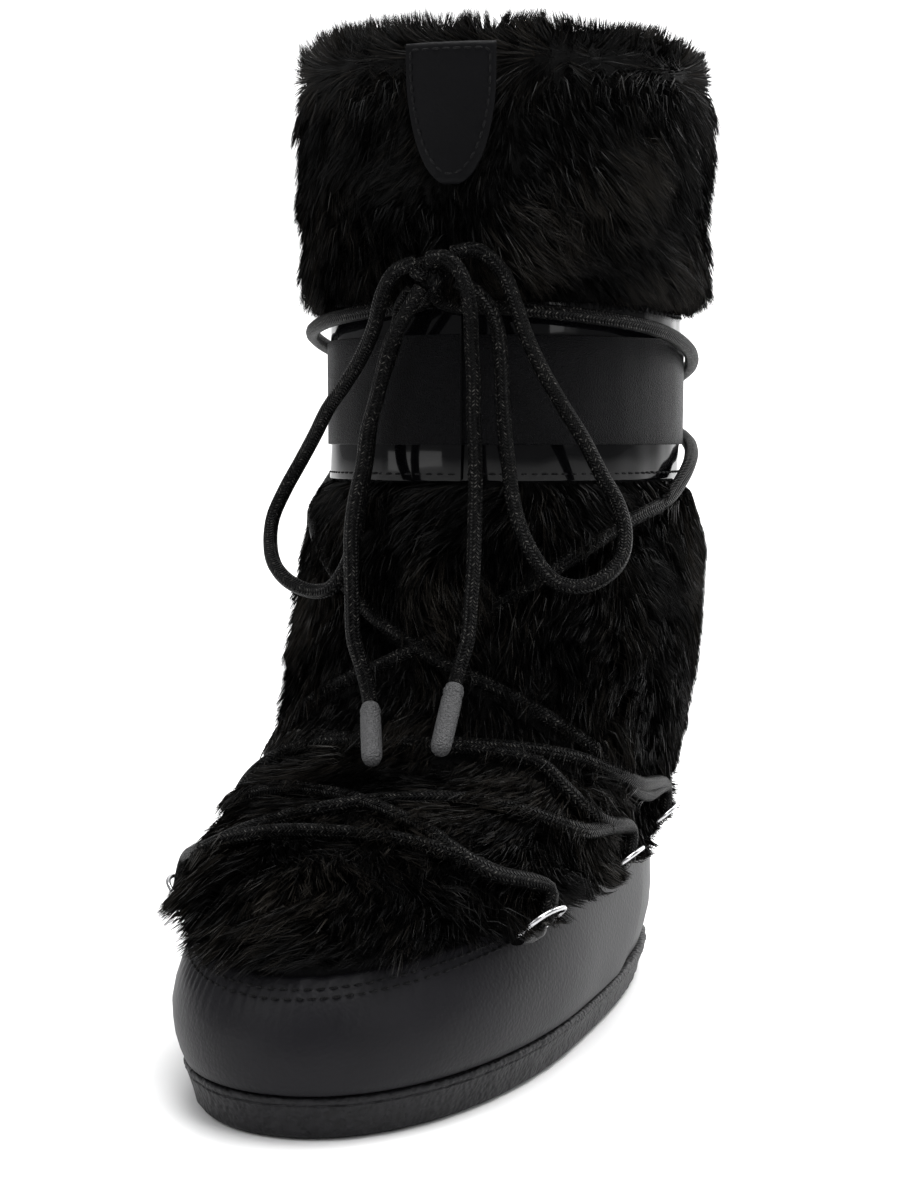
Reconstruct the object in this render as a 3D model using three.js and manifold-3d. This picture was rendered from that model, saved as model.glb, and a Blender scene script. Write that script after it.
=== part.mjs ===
import * as THREE from 'three';
import { mergeVertices } from 'three/addons/utils/BufferGeometryUtils.js';
import Module from 'manifold-3d';

// One après-ski boot in deep black fur, in millimetres, +Z up, standing empty on its sole.
// The toe points along -Y, +X is the wearer's left, and the origin lies on the floor under the shaft's axis.
// The last is symmetrical, so the boot goes on either foot.

// Driving dimensions of the last and the wall
const TOE_REACH = 200;
const HEEL_REACH = 60;
const BALL_HALF_WIDTH = 53;
const SHAFT_HALF_WIDTH = 59.5;
const SHAFT_HALF_DEPTH = 65.5;
const ANKLE_HEIGHT = 104;
const COLLAR_HEIGHT = 322;
const UPPER_WALL = 5;
const CLEARANCE = 0.3;

// Sole
const SOLE_THICKNESS = 12.7;
const SOLE_MARGIN = 4.2;
const SOLE_FLARE = 3.2;
const TREAD_DEPTH = 3.5;
const TREAD_RIM = 6;
const GROOVE_WIDTH = 4;
const GROOVE_PITCH = 13;
const ARCH_FRONT = 62;
const ARCH_BACK = 8;
const INSOLE_THICKNESS = 4;

// Rand round the front and counter round the heel
const RAND_TOE_HEIGHT = 45;
const RAND_CORNER_HEIGHT = 63;
const RAND_SWELL = 7.4;
const RAND_EDGE = 2.2;
const COUNTER_BACK_HEIGHT = 109;
const COUNTER_SWELL = 5.4;
const SEAM_FOOT_ANGLE = 100;
const SEAM_TOP_ANGLE = 115;
const SEAM_HALF_GAP = 0.25;

// Fur
const LOWER_PILE = 8.5;
const CUFF_PILE = 14;
const CUFF_RISE = 6;
const CUFF_LIP = 9;
const LOCK_LENGTH = 21;
const LOCK_WIDTH = 13;
const LOCK_DEPTH = 6;
const LOCK_STANDOFF = 4.5;

// Band round the shaft and its raised strip
const BAND_FOOT = 179;
const BAND_TOP = 238;
const BAND_THICKNESS = 2;
const BAND_LAP = 1.6;
const BAND_LAP_ANGLE = 7.5;
const BAND_LAP_LENGTH = 26;
const STRIP_FOOT = 191;
const STRIP_TOP = 227;
const STRIP_THICKNESS = 0.9;

// Patch at the collar's front
const PATCH_TIP = 274;
const PATCH_ANGLE = 6.5;
const PATCH_HALF_WIDTH = 15;
const PATCH_THICKNESS = 2;

// Wire rings in leather tabs along the edge of the fur
const RING_ANGLES = [62, 92, 111];
const RING_WIRE = 1.6;
const RING_WIDTH = 15;
const RING_HEIGHT = 11.6;
const RING_TILT = 50;
const TAB_WIDTH = 11;
const TAB_DEPTH = 6.5;
const TAB_HEIGHT = 6;

// Lace
const LACE_DIAMETER = 5;
const LACE_SIDES = 8;
const LACE_STEP = 13.5;
const CROSSING_SIDES = 6;
const CROSSING_STEP = 19;
const KNOT_RADIUS = 7;
const AGLET_DIAMETER = 6.6;
const AGLET_LENGTH = 24;

const wasm = await Module();
wasm.setup();

const FLOOR_OF_UPPER = SOLE_THICKNESS + CLEARANCE;

// Sections of the last from the sole to the collar. foot is the share of the way from the sole to the
// ankle, shaft the share from the ankle to the collar, and rise how far a section has turned from foot
// into shaft. reach is the front's share of the way from the shaft to the toe. tail, wide and middle are
// shares of the heel's reach, the half width and the toe's reach. front and back are the two curves' powers.
const COLUMNS = ['foot', 'shaft', 'rise', 'reach', 'tail', 'wide', 'middle', 'front', 'back'];
const SECTIONS = [
  [0.00, 0.000, 0.00, 0.985, 0.965, 0.945, 0.44, 2.15, 2.70],
  [0.16, 0.000, 0.00, 1.000, 1.010, 1.000, 0.44, 2.15, 2.70],
  [0.32, 0.000, 0.00, 0.970, 1.020, 1.005, 0.43, 2.15, 2.70],
  [0.44, 0.000, 0.00, 0.887, 1.020, 1.005, 0.42, 2.20, 2.65],
  [0.55, 0.000, 0.00, 0.766, 1.015, 1.005, 0.39, 2.25, 2.60],
  [0.64, 0.000, 0.10, 0.620, 1.001, 0.998, 0.35, 2.30, 2.55],
  [0.71, 0.000, 0.20, 0.472, 0.987, 0.996, 0.30, 2.30, 2.50],
  [0.78, 0.000, 0.35, 0.336, 0.969, 1.002, 0.23, 2.30, 2.45],
  [0.88, 0.000, 0.50, 0.245, 0.956, 1.013, 0.16, 2.25, 2.40],
  [1.00, 0.000, 0.65, 0.185, 0.943, 1.024, 0.11, 2.20, 2.30],
  [1.00, 0.064, 0.80, 0.136, 0.936, 1.029, 0.07, 2.15, 2.20],
  [1.00, 0.142, 0.90, 0.094, 0.947, 1.026, 0.04, 2.10, 2.15],
  [1.00, 0.234, 1.00, 0.060, 0.966, 1.015, 0.02, 2.05, 2.10],
  [1.00, 0.344, 1.00, 0.008, 0.998, 1.000, 0.00, 2.00, 2.00],
  [1.00, 0.480, 1.00, 0.000, 0.998, 1.000, 0.00, 2.00, 2.00],
  [1.00, 0.620, 1.00, 0.004, 1.000, 1.000, 0.00, 2.00, 2.00],
  [1.00, 0.807, 1.00, 0.019, 1.021, 1.024, 0.00, 2.00, 2.00],
  [1.00, 1.000, 1.00, 0.034, 1.053, 1.058, 0.00, 2.00, 2.00],
].map((row) => Object.fromEntries(COLUMNS.map((name, i) => [name, row[i]])));
const LAST_ROW = SECTIONS.length - 1;
const UPPER_ROWS = [0, 1, 2, 3, 4, 5, 6, 7, 8, 9, 10, 11, 12, 13, 15, 17];

const mix = THREE.MathUtils.lerp;
const radians = THREE.MathUtils.degToRad;

// The section at a row number between two rows, on a smooth curve through the table
function section(row) {
  const at = THREE.MathUtils.clamp(row, 0, LAST_ROW);
  const low = Math.min(Math.floor(at), LAST_ROW - 1);
  const t = at - low;
  const near = [low - 1, low, low + 1, low + 2].map((i) => SECTIONS[THREE.MathUtils.clamp(i, 0, LAST_ROW)]);
  const blend = (a, b, c, d) => 0.5 * (2 * b + (c - a) * t + (2 * a - 5 * b + 4 * c - d) * t * t
    + (3 * b - a - 3 * c + d) * t * t * t);
  return Object.fromEntries(COLUMNS.map((name) => [name, blend(...near.map((row4) => row4[name]))]));
}

function heightOf(row) {
  const { foot, shaft } = section(row);
  return FLOOR_OF_UPPER + foot * (ANKLE_HEIGHT - FLOOR_OF_UPPER) + shaft * (COLLAR_HEIGHT - ANKLE_HEIGHT);
}

// A point of the upper's outer skin. The angle in degrees runs from the toe through the wearer's left
function skin(row, angle) {
  const s = section(row);
  const turn = radians(angle);
  const ahead = Math.cos(turn);
  const aside = Math.sin(turn);
  const power = 2 / (ahead > 0 ? s.front : s.back);
  const front = SHAFT_HALF_DEPTH + s.reach * (TOE_REACH - SHAFT_HALF_DEPTH);
  const back = s.tail * mix(HEEL_REACH, SHAFT_HALF_DEPTH, s.rise);
  const half = s.wide * mix(BALL_HALF_WIDTH, SHAFT_HALF_WIDTH, s.rise);
  const middle = s.middle * TOE_REACH;
  const reach = ahead > 0 ? front - middle : back + middle;
  return new THREE.Vector3(
    half * Math.sign(aside) * Math.abs(aside) ** power,
    -middle - reach * Math.sign(ahead) * Math.abs(ahead) ** power,
    heightOf(row),
  );
}

const NUDGE = 0.01;

// The skin's outward direction and the directions along it, round the boot and up it
function axes(row, angle) {
  const around = skin(row, angle + NUDGE).sub(skin(row, angle - NUDGE)).normalize();
  const above = Math.min(row + NUDGE, LAST_ROW);
  const below = Math.max(row - NUDGE, 0);
  const up = skin(above, angle).sub(skin(below, angle)).normalize();
  const out = around.clone().cross(up).normalize();
  return { around, up, out };
}

function lifted(row, angle, lift) {
  return skin(row, angle).addScaledVector(axes(row, angle).out, lift);
}

function rowAt(height) {
  let low = 0;
  let high = LAST_ROW;
  for (let i = 0; i < 30; i += 1) {
    const half = (low + high) / 2;
    if (heightOf(half) < height) low = half;
    else high = half;
  }
  return (low + high) / 2;
}

// A point off the skin whose own height is given, carried straight up above the collar
function at(height, angle, lift) {
  let low = 0;
  let high = LAST_ROW;
  for (let i = 0; i < 24; i += 1) {
    const half = (low + high) / 2;
    if (lifted(half, angle, lift).z < height) low = half;
    else high = half;
  }
  return lifted((low + high) / 2, angle, lift).setZ(height);
}

function indexed(points, faces) {
  const geometry = new THREE.BufferGeometry();
  geometry.setAttribute('position', new THREE.Float32BufferAttribute(points.flatMap((p) => p.toArray()), 3));
  geometry.setIndex(faces.flat());
  return geometry;
}

// A closed wall between two grids of points. A ring closes round the boot, and a panel has four edges
function wall({ around, up, outer, inner, ring = true }) {
  const columns = ring ? around : around + 1;
  const points = [];
  for (const face of [outer, inner]) {
    for (let i = 0; i < columns; i += 1) {
      for (let j = 0; j <= up; j += 1) points.push(face(i / around, j / up, j));
    }
  }
  const o = (i, j) => (i % columns) * (up + 1) + j;
  const n = (i, j) => columns * (up + 1) + o(i, j);
  const faces = [];
  const quad = (a, b, c, d) => faces.push([a, b, c], [a, c, d]);
  for (let i = 0; i < around; i += 1) {
    for (let j = 0; j < up; j += 1) {
      quad(o(i, j), o(i + 1, j), o(i + 1, j + 1), o(i, j + 1));
      quad(n(i, j), n(i, j + 1), n(i + 1, j + 1), n(i + 1, j));
    }
    quad(n(i, 0), n(i + 1, 0), o(i + 1, 0), o(i, 0));
    quad(o(i, up), o(i + 1, up), n(i + 1, up), n(i, up));
  }
  if (!ring) {
    for (let j = 0; j < up; j += 1) {
      quad(o(0, j), o(0, j + 1), n(0, j + 1), n(0, j));
      quad(o(around, j + 1), o(around, j), n(around, j), n(around, j + 1));
    }
  }
  return indexed(points, faces);
}

// A closed solid through level outlines, with a flat face at each end
function layered(levels) {
  const count = levels[0].length;
  const points = levels.flat();
  const faces = [];
  for (let k = 0; k + 1 < levels.length; k += 1) {
    for (let i = 0; i < count; i += 1) {
      const a = k * count + i;
      const b = k * count + (i + 1) % count;
      faces.push([a, b, b + count], [a, b + count, a + count]);
    }
  }
  const flat = THREE.ShapeUtils.triangulateShape(levels[0].map((p) => new THREE.Vector2(p.x, p.y)), []);
  const top = (levels.length - 1) * count;
  for (const [a, b, c] of flat) faces.push([c, b, a], [top + a, top + b, top + c]);
  return indexed(points, faces);
}

function solid(geometry) {
  const bare = geometry.clone();
  bare.deleteAttribute('normal');
  bare.deleteAttribute('uv');
  const merged = mergeVertices(bare);
  return new wasm.Manifold(new wasm.Mesh({
    numProp: 3,
    vertProperties: new Float32Array(merged.attributes.position.array),
    triVerts: new Uint32Array(merged.index.array),
  }));
}

function geometryOf(manifold) {
  const mesh = manifold.getMesh();
  const geometry = new THREE.BufferGeometry();
  geometry.setAttribute('position', new THREE.BufferAttribute(mesh.vertProperties, 3));
  geometry.setIndex(new THREE.BufferAttribute(mesh.triVerts, 1));
  return geometry;
}

function joined(geometries) {
  return geometryOf(geometries.map(solid).reduce((sum, next) => sum.add(next)));
}

function round(diameter, sides) {
  const corners = Array.from({ length: sides }, (_, i) => {
    const turn = radians((i + 0.5) * 360 / sides);
    return new THREE.Vector2(Math.cos(turn), Math.sin(turn)).multiplyScalar(diameter / 2);
  });
  return new THREE.Shape(corners);
}

function tube(points, diameter, sides = LACE_SIDES, step = LACE_STEP) {
  const path = new THREE.CatmullRomCurve3(points);
  const steps = Math.max(2, Math.round(path.getLength() / step));
  return new THREE.ExtrudeGeometry(round(diameter, sides), { steps, extrudePath: path, bevelEnabled: false });
}

const group = new THREE.Group();

function add(name, geometry, colour, roughness, metalness = 0) {
  const mesh = new THREE.Mesh(geometry, new THREE.MeshStandardMaterial({ color: colour, roughness, metalness }));
  mesh.name = name;
  group.add(mesh);
}

// Outsole: the outline follows the upper's widest low section and flares from the floor to its top edge
const SOLE_ROW = 1;
const SOLE_COLUMNS = 56;
function soleOutline(height, inset, columns = SOLE_COLUMNS) {
  return Array.from({ length: columns }, (_, i) => {
    const angle = i * 360 / columns;
    const { around } = axes(SOLE_ROW, angle);
    const level = new THREE.Vector3(around.y, -around.x, 0).normalize();
    return skin(SOLE_ROW, angle).addScaledVector(level, SOLE_MARGIN - inset).setZ(height);
  });
}

function box(width, depth, height, x, y, z) {
  return new THREE.BoxGeometry(width, depth, height).translate(x, y, z);
}

// The arch and the grooves are cut up into the tread and leave a rim round the edge
function outsole() {
  const body = layered([
    soleOutline(0, SOLE_FLARE + 1.2),
    soleOutline(1.5, SOLE_FLARE),
    soleOutline(SOLE_THICKNESS - 2, 0.3),
    soleOutline(SOLE_THICKNESS, 0.8),
  ]);
  const wide = 2 * (BALL_HALF_WIDTH + SOLE_MARGIN) + TREAD_RIM;
  const archLength = ARCH_FRONT - ARCH_BACK;
  const arch = box(wide, archLength, 2 * TREAD_DEPTH, 0, -(ARCH_FRONT + ARCH_BACK) / 2, 0);
  const field = layered([
    soleOutline(-TREAD_DEPTH, SOLE_FLARE + TREAD_RIM, SOLE_COLUMNS / 2),
    soleOutline(TREAD_DEPTH, SOLE_FLARE + TREAD_RIM, SOLE_COLUMNS / 2),
  ]);
  let grooves = null;
  for (let y = -TOE_REACH + GROOVE_PITCH; y < HEEL_REACH; y += GROOVE_PITCH) {
    if (y > -ARCH_FRONT - GROOVE_PITCH / 2 && y < -ARCH_BACK + GROOVE_PITCH / 2) continue;
    const groove = solid(box(wide, GROOVE_WIDTH, 4 * TREAD_DEPTH, 0, y, 0));
    grooves = grooves ? grooves.add(groove) : groove;
  }
  grooves = grooves.intersect(solid(field));
  return geometryOf(solid(body).subtract(solid(arch)).subtract(grooves));
}
add('outsole', outsole(), 0x262529, 0.6);

// Insole: it lies on the outsole inside the wall
function insoleOutline(height) {
  return Array.from({ length: SOLE_COLUMNS / 2 }, (_, i) => {
    const angle = i * 720 / SOLE_COLUMNS;
    return lifted(0, angle, -UPPER_WALL - 3 * CLEARANCE).setZ(height);
  });
}
add('insole', layered([
  insoleOutline(FLOOR_OF_UPPER),
  insoleOutline(FLOOR_OF_UPPER + INSOLE_THICKNESS),
]), 0x1b1b1d, 0.95);

// Upper: one hollow wall, open at the collar and underneath
const UPPER_COLUMNS = 32;
const UPPER_TOP = UPPER_ROWS.length - 1;
function upperWall(margin) {
  const place = (turn, j, lift) => {
    const point = lifted(UPPER_ROWS[j], turn * 360, lift);
    if (j === 0) point.z = FLOOR_OF_UPPER - 3 * margin;
    if (j === UPPER_TOP) point.z = COLLAR_HEIGHT + margin;
    return point;
  };
  return wall({
    around: UPPER_COLUMNS,
    up: UPPER_TOP,
    outer: (turn, _, j) => place(turn, j, margin),
    inner: (turn, _, j) => place(turn, j, -UPPER_WALL - margin),
  });
}
add('upper', upperWall(0), 0x151517, 0.7);

// What lies on the upper is made a little too deep, and the upper's own form, grown by the gap, is cut from it
const SUNK = 1.4;
const upperSeat = solid(upperWall(CLEARANCE));
const seated = (geometry, ...seats) => geometryOf(
  seats.reduce((left, seat) => left.subtract(seat), solid(geometry)),
);

// The edge of the fur: the rand's top in front of the slanted seam and the counter's top behind it
const seamAngle = (share) => mix(SEAM_FOOT_ANGLE, SEAM_TOP_ANGLE, share);
const RAND_TOP_POWER = 1.6;
const COUNTER_TOP_POWER = 0.77;
const backness = (angle) => Math.abs(Math.cos(radians(angle))) ** COUNTER_TOP_POWER;

function furEdge(angle) {
  const turn = Math.abs(THREE.MathUtils.euclideanModulo(angle + 180, 360) - 180);
  if (turn <= SEAM_TOP_ANGLE) {
    return mix(RAND_TOE_HEIGHT, RAND_CORNER_HEIGHT, (turn / SEAM_TOP_ANGLE) ** RAND_TOP_POWER);
  }
  const share = (backness(turn) - backness(SEAM_TOP_ANGLE)) / (1 - backness(SEAM_TOP_ANGLE));
  return mix(RAND_CORNER_HEIGHT, COUNTER_BACK_HEIGHT, share);
}

// A value read off a table of two columns, straight from one row to the next
function reading(table, share) {
  const next = Math.max(1, table.findIndex(([x]) => x >= share - 1e-9));
  const [x0, y0] = table[next - 1];
  const [x1, y1] = table[next];
  return mix(y0, y1, (share - x0) / (x1 - x0));
}

// Swell of the rand and the counter: the share up the piece and the share of the swell past their top edge
const SWELL = [[0, 0.85], [0.2, 1.05], [0.42, 1], [0.7, 0.66], [0.9, 0.2], [1, 0]];
const RAND_COLUMNS = 24;
const COUNTER_COLUMNS = 12;

function footPanel(columns, from, to, swell) {
  const place = (t, j, lift) => {
    const up = SWELL[j][0];
    const angle = mix(from(up), to(up), t);
    return at(mix(FLOOR_OF_UPPER, furEdge(angle), up), angle, lift(j));
  };
  return wall({
    around: columns,
    up: SWELL.length - 1,
    ring: false,
    outer: (t, _, j) => place(t, j, () => mix(RAND_EDGE, swell, SWELL[j][1])),
    inner: (t, _, j) => place(t, j, () => -SUNK),
  });
}
add('rand', seated(footPanel(
  RAND_COLUMNS,
  (up) => SEAM_HALF_GAP - seamAngle(up),
  (up) => seamAngle(up) - SEAM_HALF_GAP,
  RAND_SWELL,
), upperSeat), 0x2e2c32, 0.55);
add('heel_counter', seated(footPanel(
  COUNTER_COLUMNS,
  (up) => seamAngle(up) + SEAM_HALF_GAP,
  (up) => 360 - seamAngle(up) - SEAM_HALF_GAP,
  COUNTER_SWELL,
), upperSeat), 0x2e2c32, 0.55);

// Band round the shaft, with its free end lapped over at the front, and the strip round its middle
const BAND_COLUMNS = 32;
function bandRing(foot, top, low, high, columns = BAND_COLUMNS) {
  const place = (turn, up, lift) => at(mix(foot, top, up), turn * 360, lift);
  return wall({
    around: columns,
    up: 2,
    outer: (turn, up) => place(turn, up, high),
    inner: (turn, up) => place(turn, up, low),
  });
}
const BAND_OUT = CLEARANCE + BAND_THICKNESS;
add('band', seated(bandRing(BAND_FOOT, BAND_TOP, -SUNK, BAND_OUT), upperSeat), 0x101012, 0.12);

const STRIP_IN = BAND_OUT + CLEARANCE;
const STRIP_OUT = STRIP_IN + STRIP_THICKNESS;
const bandSeat = solid(bandRing(BAND_FOOT, BAND_TOP, -SUNK, STRIP_IN));
add('band_strip', seated(bandRing(STRIP_FOOT, STRIP_TOP, BAND_OUT, STRIP_OUT), bandSeat), 0x18181b, 0.6);
const stripSeat = solid(bandRing(STRIP_FOOT - CLEARANCE, STRIP_TOP + CLEARANCE, 0, STRIP_OUT + CLEARANCE));

// The lap is the band's outer end, a short panel that steps over strip and band at the front
function lap() {
  const start = BAND_LAP_ANGLE - BAND_LAP_LENGTH;
  const place = (t, up, lift) => at(mix(BAND_FOOT, BAND_TOP, up), mix(start, BAND_LAP_ANGLE, t), lift);
  const low = BAND_OUT;
  return wall({
    around: 4,
    up: 2,
    ring: false,
    outer: (t, up) => place(t, up, STRIP_OUT + CLEARANCE + BAND_LAP),
    inner: (t, up) => place(t, up, low),
  });
}
add('band_lap', seated(lap(), bandSeat, stripSeat), 0x101012, 0.12);

// Lace. A row of a strand is a height and an angle, and both feet of a strand end in a ring or the knot
const FUR_LIFT = LOWER_PILE + CLEARANCE + LACE_DIAMETER / 2 + 1.2;
const BAND_LIFT = STRIP_OUT + BAND_LAP + 6 * CLEARANCE + LACE_DIAMETER / 2;
const [RING_FRONT, RING_MIDDLE, RING_BACK] = RING_ANGLES;

const BASE_LIFT = RAND_EDGE + 0.5 * TAB_DEPTH + 2.3;
const ringTilt = radians(RING_TILT);
const mirror = (point) => point.clone().setX(-point.x);

// The base of a ring lies in its tab just under the fur's edge, and its loop leans out and up
function ringFrame(angle) {
  const height = furEdge(angle) - TAB_HEIGHT / 2 - CLEARANCE;
  const { around, up, out } = axes(rowAt(height), angle);
  const lean = up.clone().multiplyScalar(Math.cos(ringTilt)).addScaledVector(out, Math.sin(ringTilt));
  return { base: at(height, angle, BASE_LIFT), around, lean, up, out };
}

function throughRing(angle) {
  const { base, lean, up } = ringFrame(Math.abs(angle));
  const hole = base.clone().addScaledVector(lean, RING_HEIGHT / 2 + 0.6);
  const under = hole.clone().addScaledVector(up, -1);
  const above = hole.clone().addScaledVector(up, 9);
  const points = [under, hole, above];
  return angle < 0 ? points.map(mirror) : points;
}

const overFur = (rows) => rows.map(([height, angle]) => at(height, angle, FUR_LIFT));
const overBand = (rows) => rows.map(([height, angle]) => at(height, angle, BAND_LIFT));

const BAR = overFur([[67, 48], [72, 36], [75, 22], [76.5, 8], [76.5, -8], [75, -22], [72, -36], [67, -48]]);
const LOW_CROSS = overFur([
  [73, 70], [78, 57], [81, 45], [83.5, 31], [84, 15], [83, 1], [80.5, -11], [77.5, -23], [73.5, -34], [68, -45],
]);
const HIGH_CROSS = overFur([
  [80, 88], [86, 72], [91, 57], [94.5, 41], [96.5, 24], [97, 7], [96.5, -9], [95, -26], [91, -43], [84, -60],
  [74, -77],
]);
const ANKLE_TURN = overFur([
  [74, -97], [82, -82], [92, -63], [102, -43], [112, -25], [120, -9], [128, 3], [134, 13], [141, 22], [149, 33],
  [158, 46], [166, 60], [172, 76],
]);
const SHAFT_TURN = overBand([
  [185, 98], [193, 120], [199, 145], [204, 170], [208, 195], [213, 220], [219, 245], [225, 270], [230, 295],
  [233, 318], [235, 338], [237.5, 357.5],
]);

const KNOT_LIFT = 18.5;
const KNOT_HEIGHT = 246;
const KNOT_ANGLE = 2.5;
const knotCentre = at(KNOT_HEIGHT, KNOT_ANGLE, KNOT_LIFT);
const knotForm = (margin) => new THREE.SphereGeometry(1, 10, 8)
  .scale(KNOT_RADIUS + 2 + margin, KNOT_RADIUS + margin, KNOT_RADIUS + margin)
  .translate(knotCentre.x, knotCentre.y, knotCentre.z);
const knotSeat = solid(knotForm(CLEARANCE));

const turnPath = [...throughRing(-RING_BACK), ...ANKLE_TURN, ...SHAFT_TURN, knotCentre];
const strands = [
  [...throughRing(RING_FRONT), ...BAR, ...throughRing(-RING_FRONT).reverse()],
  [...throughRing(RING_MIDDLE), ...LOW_CROSS, ...throughRing(-RING_FRONT).reverse()],
  [...throughRing(RING_BACK), ...HIGH_CROSS, ...throughRing(-RING_MIDDLE).reverse()],
  turnPath,
];
const bothWays = [strands[0], ...strands.slice(1).flatMap((path) => [path, path.map(mirror)])];
bothWays[bothWays.length - 1] = [...turnPath.slice(0, -1).map(mirror), knotCentre];
add('lace_crossings', geometryOf(
  solid(joined(bothWays.map((path) => tube(path, LACE_DIAMETER, CROSSING_SIDES, CROSSING_STEP))))
    .subtract(knotSeat),
), 0x17171a, 0.8);

add('lace_knot', knotForm(0), 0x17171a, 0.8);

// The bow's loops and ends. Their points follow the lace as it hangs from the knot over band and fur
const LOOP_LEFT = [
  [-0.7, -88, 249], [-7.7, -88.2, 246], [-12.7, -86.4, 239], [-16.8, -82.5, 230], [-24, -76.7, 220],
  [-32.1, -71.9, 211], [-40.3, -67.1, 203], [-47.4, -62.3, 194], [-54.5, -58.4, 185],
  [-60.5, -58.6, 175], [-63.4, -61.7, 166], [-61.2, -68.6, 157], [-55, -77.5, 150], [-45.8, -84.2, 145],
  [-35.7, -88, 143], [-28.6, -90.8, 145], [-23.6, -90.6, 152], [-21.7, -87.6, 162], [-21.8, -83.6, 174],
  [-22, -77.6, 186], [-21, -75.6, 200], [-17, -76.5, 212], [-13, -77.4, 222], [-9.9, -79.3, 230],
  [-7.9, -81.2, 236], [-3.8, -84.1, 240],
];
const LOOP_RIGHT = [
  [9.2, -82.2, 252], [17.1, -79, 253], [25, -77.2, 246], [29, -76.3, 236], [32, -74.2, 226],
  [35.9, -71.1, 216], [41.8, -66.9, 204], [47.7, -62.8, 193], [53.6, -60.6, 181], [58.6, -59.5, 172],
  [61.6, -61.4, 163], [61.7, -65.4, 155], [57.9, -71.5, 149], [51.1, -77.7, 146], [44.2, -81.9, 148],
  [39.2, -84, 154], [34.2, -84.1, 163], [30.1, -81.2, 173], [27, -76.3, 184], [25, -74.4, 195],
  [24, -74.4, 209], [24, -76.2, 221], [23.2, -77.2, 229], [20.4, -78.6, 236], [15.8, -79.8, 240.5],
  [10.8, -81.6, 243.5],
];
const END_LEFT = [
  [1.3, -88, 241], [-4.7, -87.2, 232], [-9.7, -86.3, 224], [-12.8, -85.4, 215], [-15.8, -84.4, 205],
  [-18.8, -84.5, 195], [-19.8, -85.5, 185], [-20.7, -89.6, 174], [-20.6, -93.6, 164],
  [-19.5, -96.5, 152], [-18.4, -98.5, 141], [-17.4, -99.5, 129], [-13.4, -101.4, 119],
  [-10.3, -104.3, 112], [-8.2, -108.3, 108],
];
const END_RIGHT = [
  [4.3, -88.6, 250], [10.6, -89.8, 250], [14.6, -89.2, 246], [16.8, -88, 240], [17.2, -85.6, 233],
  [16.1, -81.6, 224], [16.1, -79.6, 212], [16.1, -79.6, 200], [17.1, -80.6, 188], [18.2, -83.6, 176],
  [19.3, -87.5, 165], [20.4, -91.5, 153], [20.5, -94.5, 141], [20.6, -97.5, 130], [18.6, -100.5, 120],
  [18.7, -104.5, 115],
];
const asPoints = (rows) => rows.map(([x, y, z]) => new THREE.Vector3(x, y, z));
const hanging = {
  lace_loop_left: asPoints(LOOP_LEFT),
  lace_loop_right: asPoints(LOOP_RIGHT),
  lace_end_left: asPoints(END_LEFT),
  lace_end_right: asPoints(END_RIGHT),
};
for (const [name, path] of Object.entries(hanging)) {
  add(name, geometryOf(solid(tube(path, LACE_DIAMETER)).subtract(knotSeat)), 0x17171a, 0.8);
}

// Aglets: round-ended tips past the two ends, each in line with its lace
const AGLET_DROP_LEFT = new THREE.Vector3(8, -18, -14);
const AGLET_DROP_RIGHT = new THREE.Vector3(1, -16, -18);
function aglet(path, drop) {
  const radius = AGLET_DIAMETER / 2;
  const profile = [
    [0, 0], [radius, 0], [radius, AGLET_LENGTH - radius], [0.7 * radius, AGLET_LENGTH - 0.3 * radius],
    [0, AGLET_LENGTH],
  ].map(([x, y]) => new THREE.Vector2(x, y));
  const direction = drop.clone().normalize();
  const start = path.at(-1).clone().addScaledVector(direction, 3 * CLEARANCE);
  const turn = new THREE.Quaternion().setFromUnitVectors(new THREE.Vector3(0, 1, 0), direction);
  return new THREE.LatheGeometry(profile, 10).applyQuaternion(turn).translate(start.x, start.y, start.z);
}
add('aglet_left', aglet(hanging.lace_end_left, AGLET_DROP_LEFT), 0x6b6b6d, 0.5);
add('aglet_right', aglet(hanging.lace_end_right, AGLET_DROP_RIGHT), 0x6b6b6d, 0.5);

// Rings: a wire bent to a D, with its straight side in a leather tab that is bored for it
const WIRE_STEPS = 10;
const WIRE_SIDES = 5;
function wireLoop({ base, around, lean }) {
  const side = around.clone().cross(lean).normalize();
  const centre = base.clone().addScaledVector(lean, RING_HEIGHT / 2);
  const points = [];
  const faces = [];
  for (let i = 0; i < WIRE_STEPS; i += 1) {
    const turn = (i + 0.5) * 2 * Math.PI / WIRE_STEPS;
    const c = Math.cos(turn);
    const s = Math.sin(turn);
    const power = s > 0 ? 2 / 2.4 : 2 / 6;
    const x = RING_WIDTH / 2 * Math.sign(c) * Math.abs(c) ** power;
    const y = RING_HEIGHT / 2 * Math.sign(s) * Math.abs(s) ** power;
    const outward = around.clone().multiplyScalar(x).addScaledVector(lean, y).normalize();
    const place = centre.clone().addScaledVector(around, x).addScaledVector(lean, y);
    for (let k = 0; k < WIRE_SIDES; k += 1) {
      const bend = k * 2 * Math.PI / WIRE_SIDES;
      points.push(place.clone().addScaledVector(outward, Math.cos(bend) * RING_WIRE / 2)
        .addScaledVector(side, Math.sin(bend) * RING_WIRE / 2));
      const a = i * WIRE_SIDES + k;
      const b = i * WIRE_SIDES + (k + 1) % WIRE_SIDES;
      const c2 = ((i + 1) % WIRE_STEPS) * WIRE_SIDES + k;
      const d = ((i + 1) % WIRE_STEPS) * WIRE_SIDES + (k + 1) % WIRE_SIDES;
      faces.push([a, c2, d], [a, d, b]);
    }
  }
  return indexed(points, faces);
}

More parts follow.
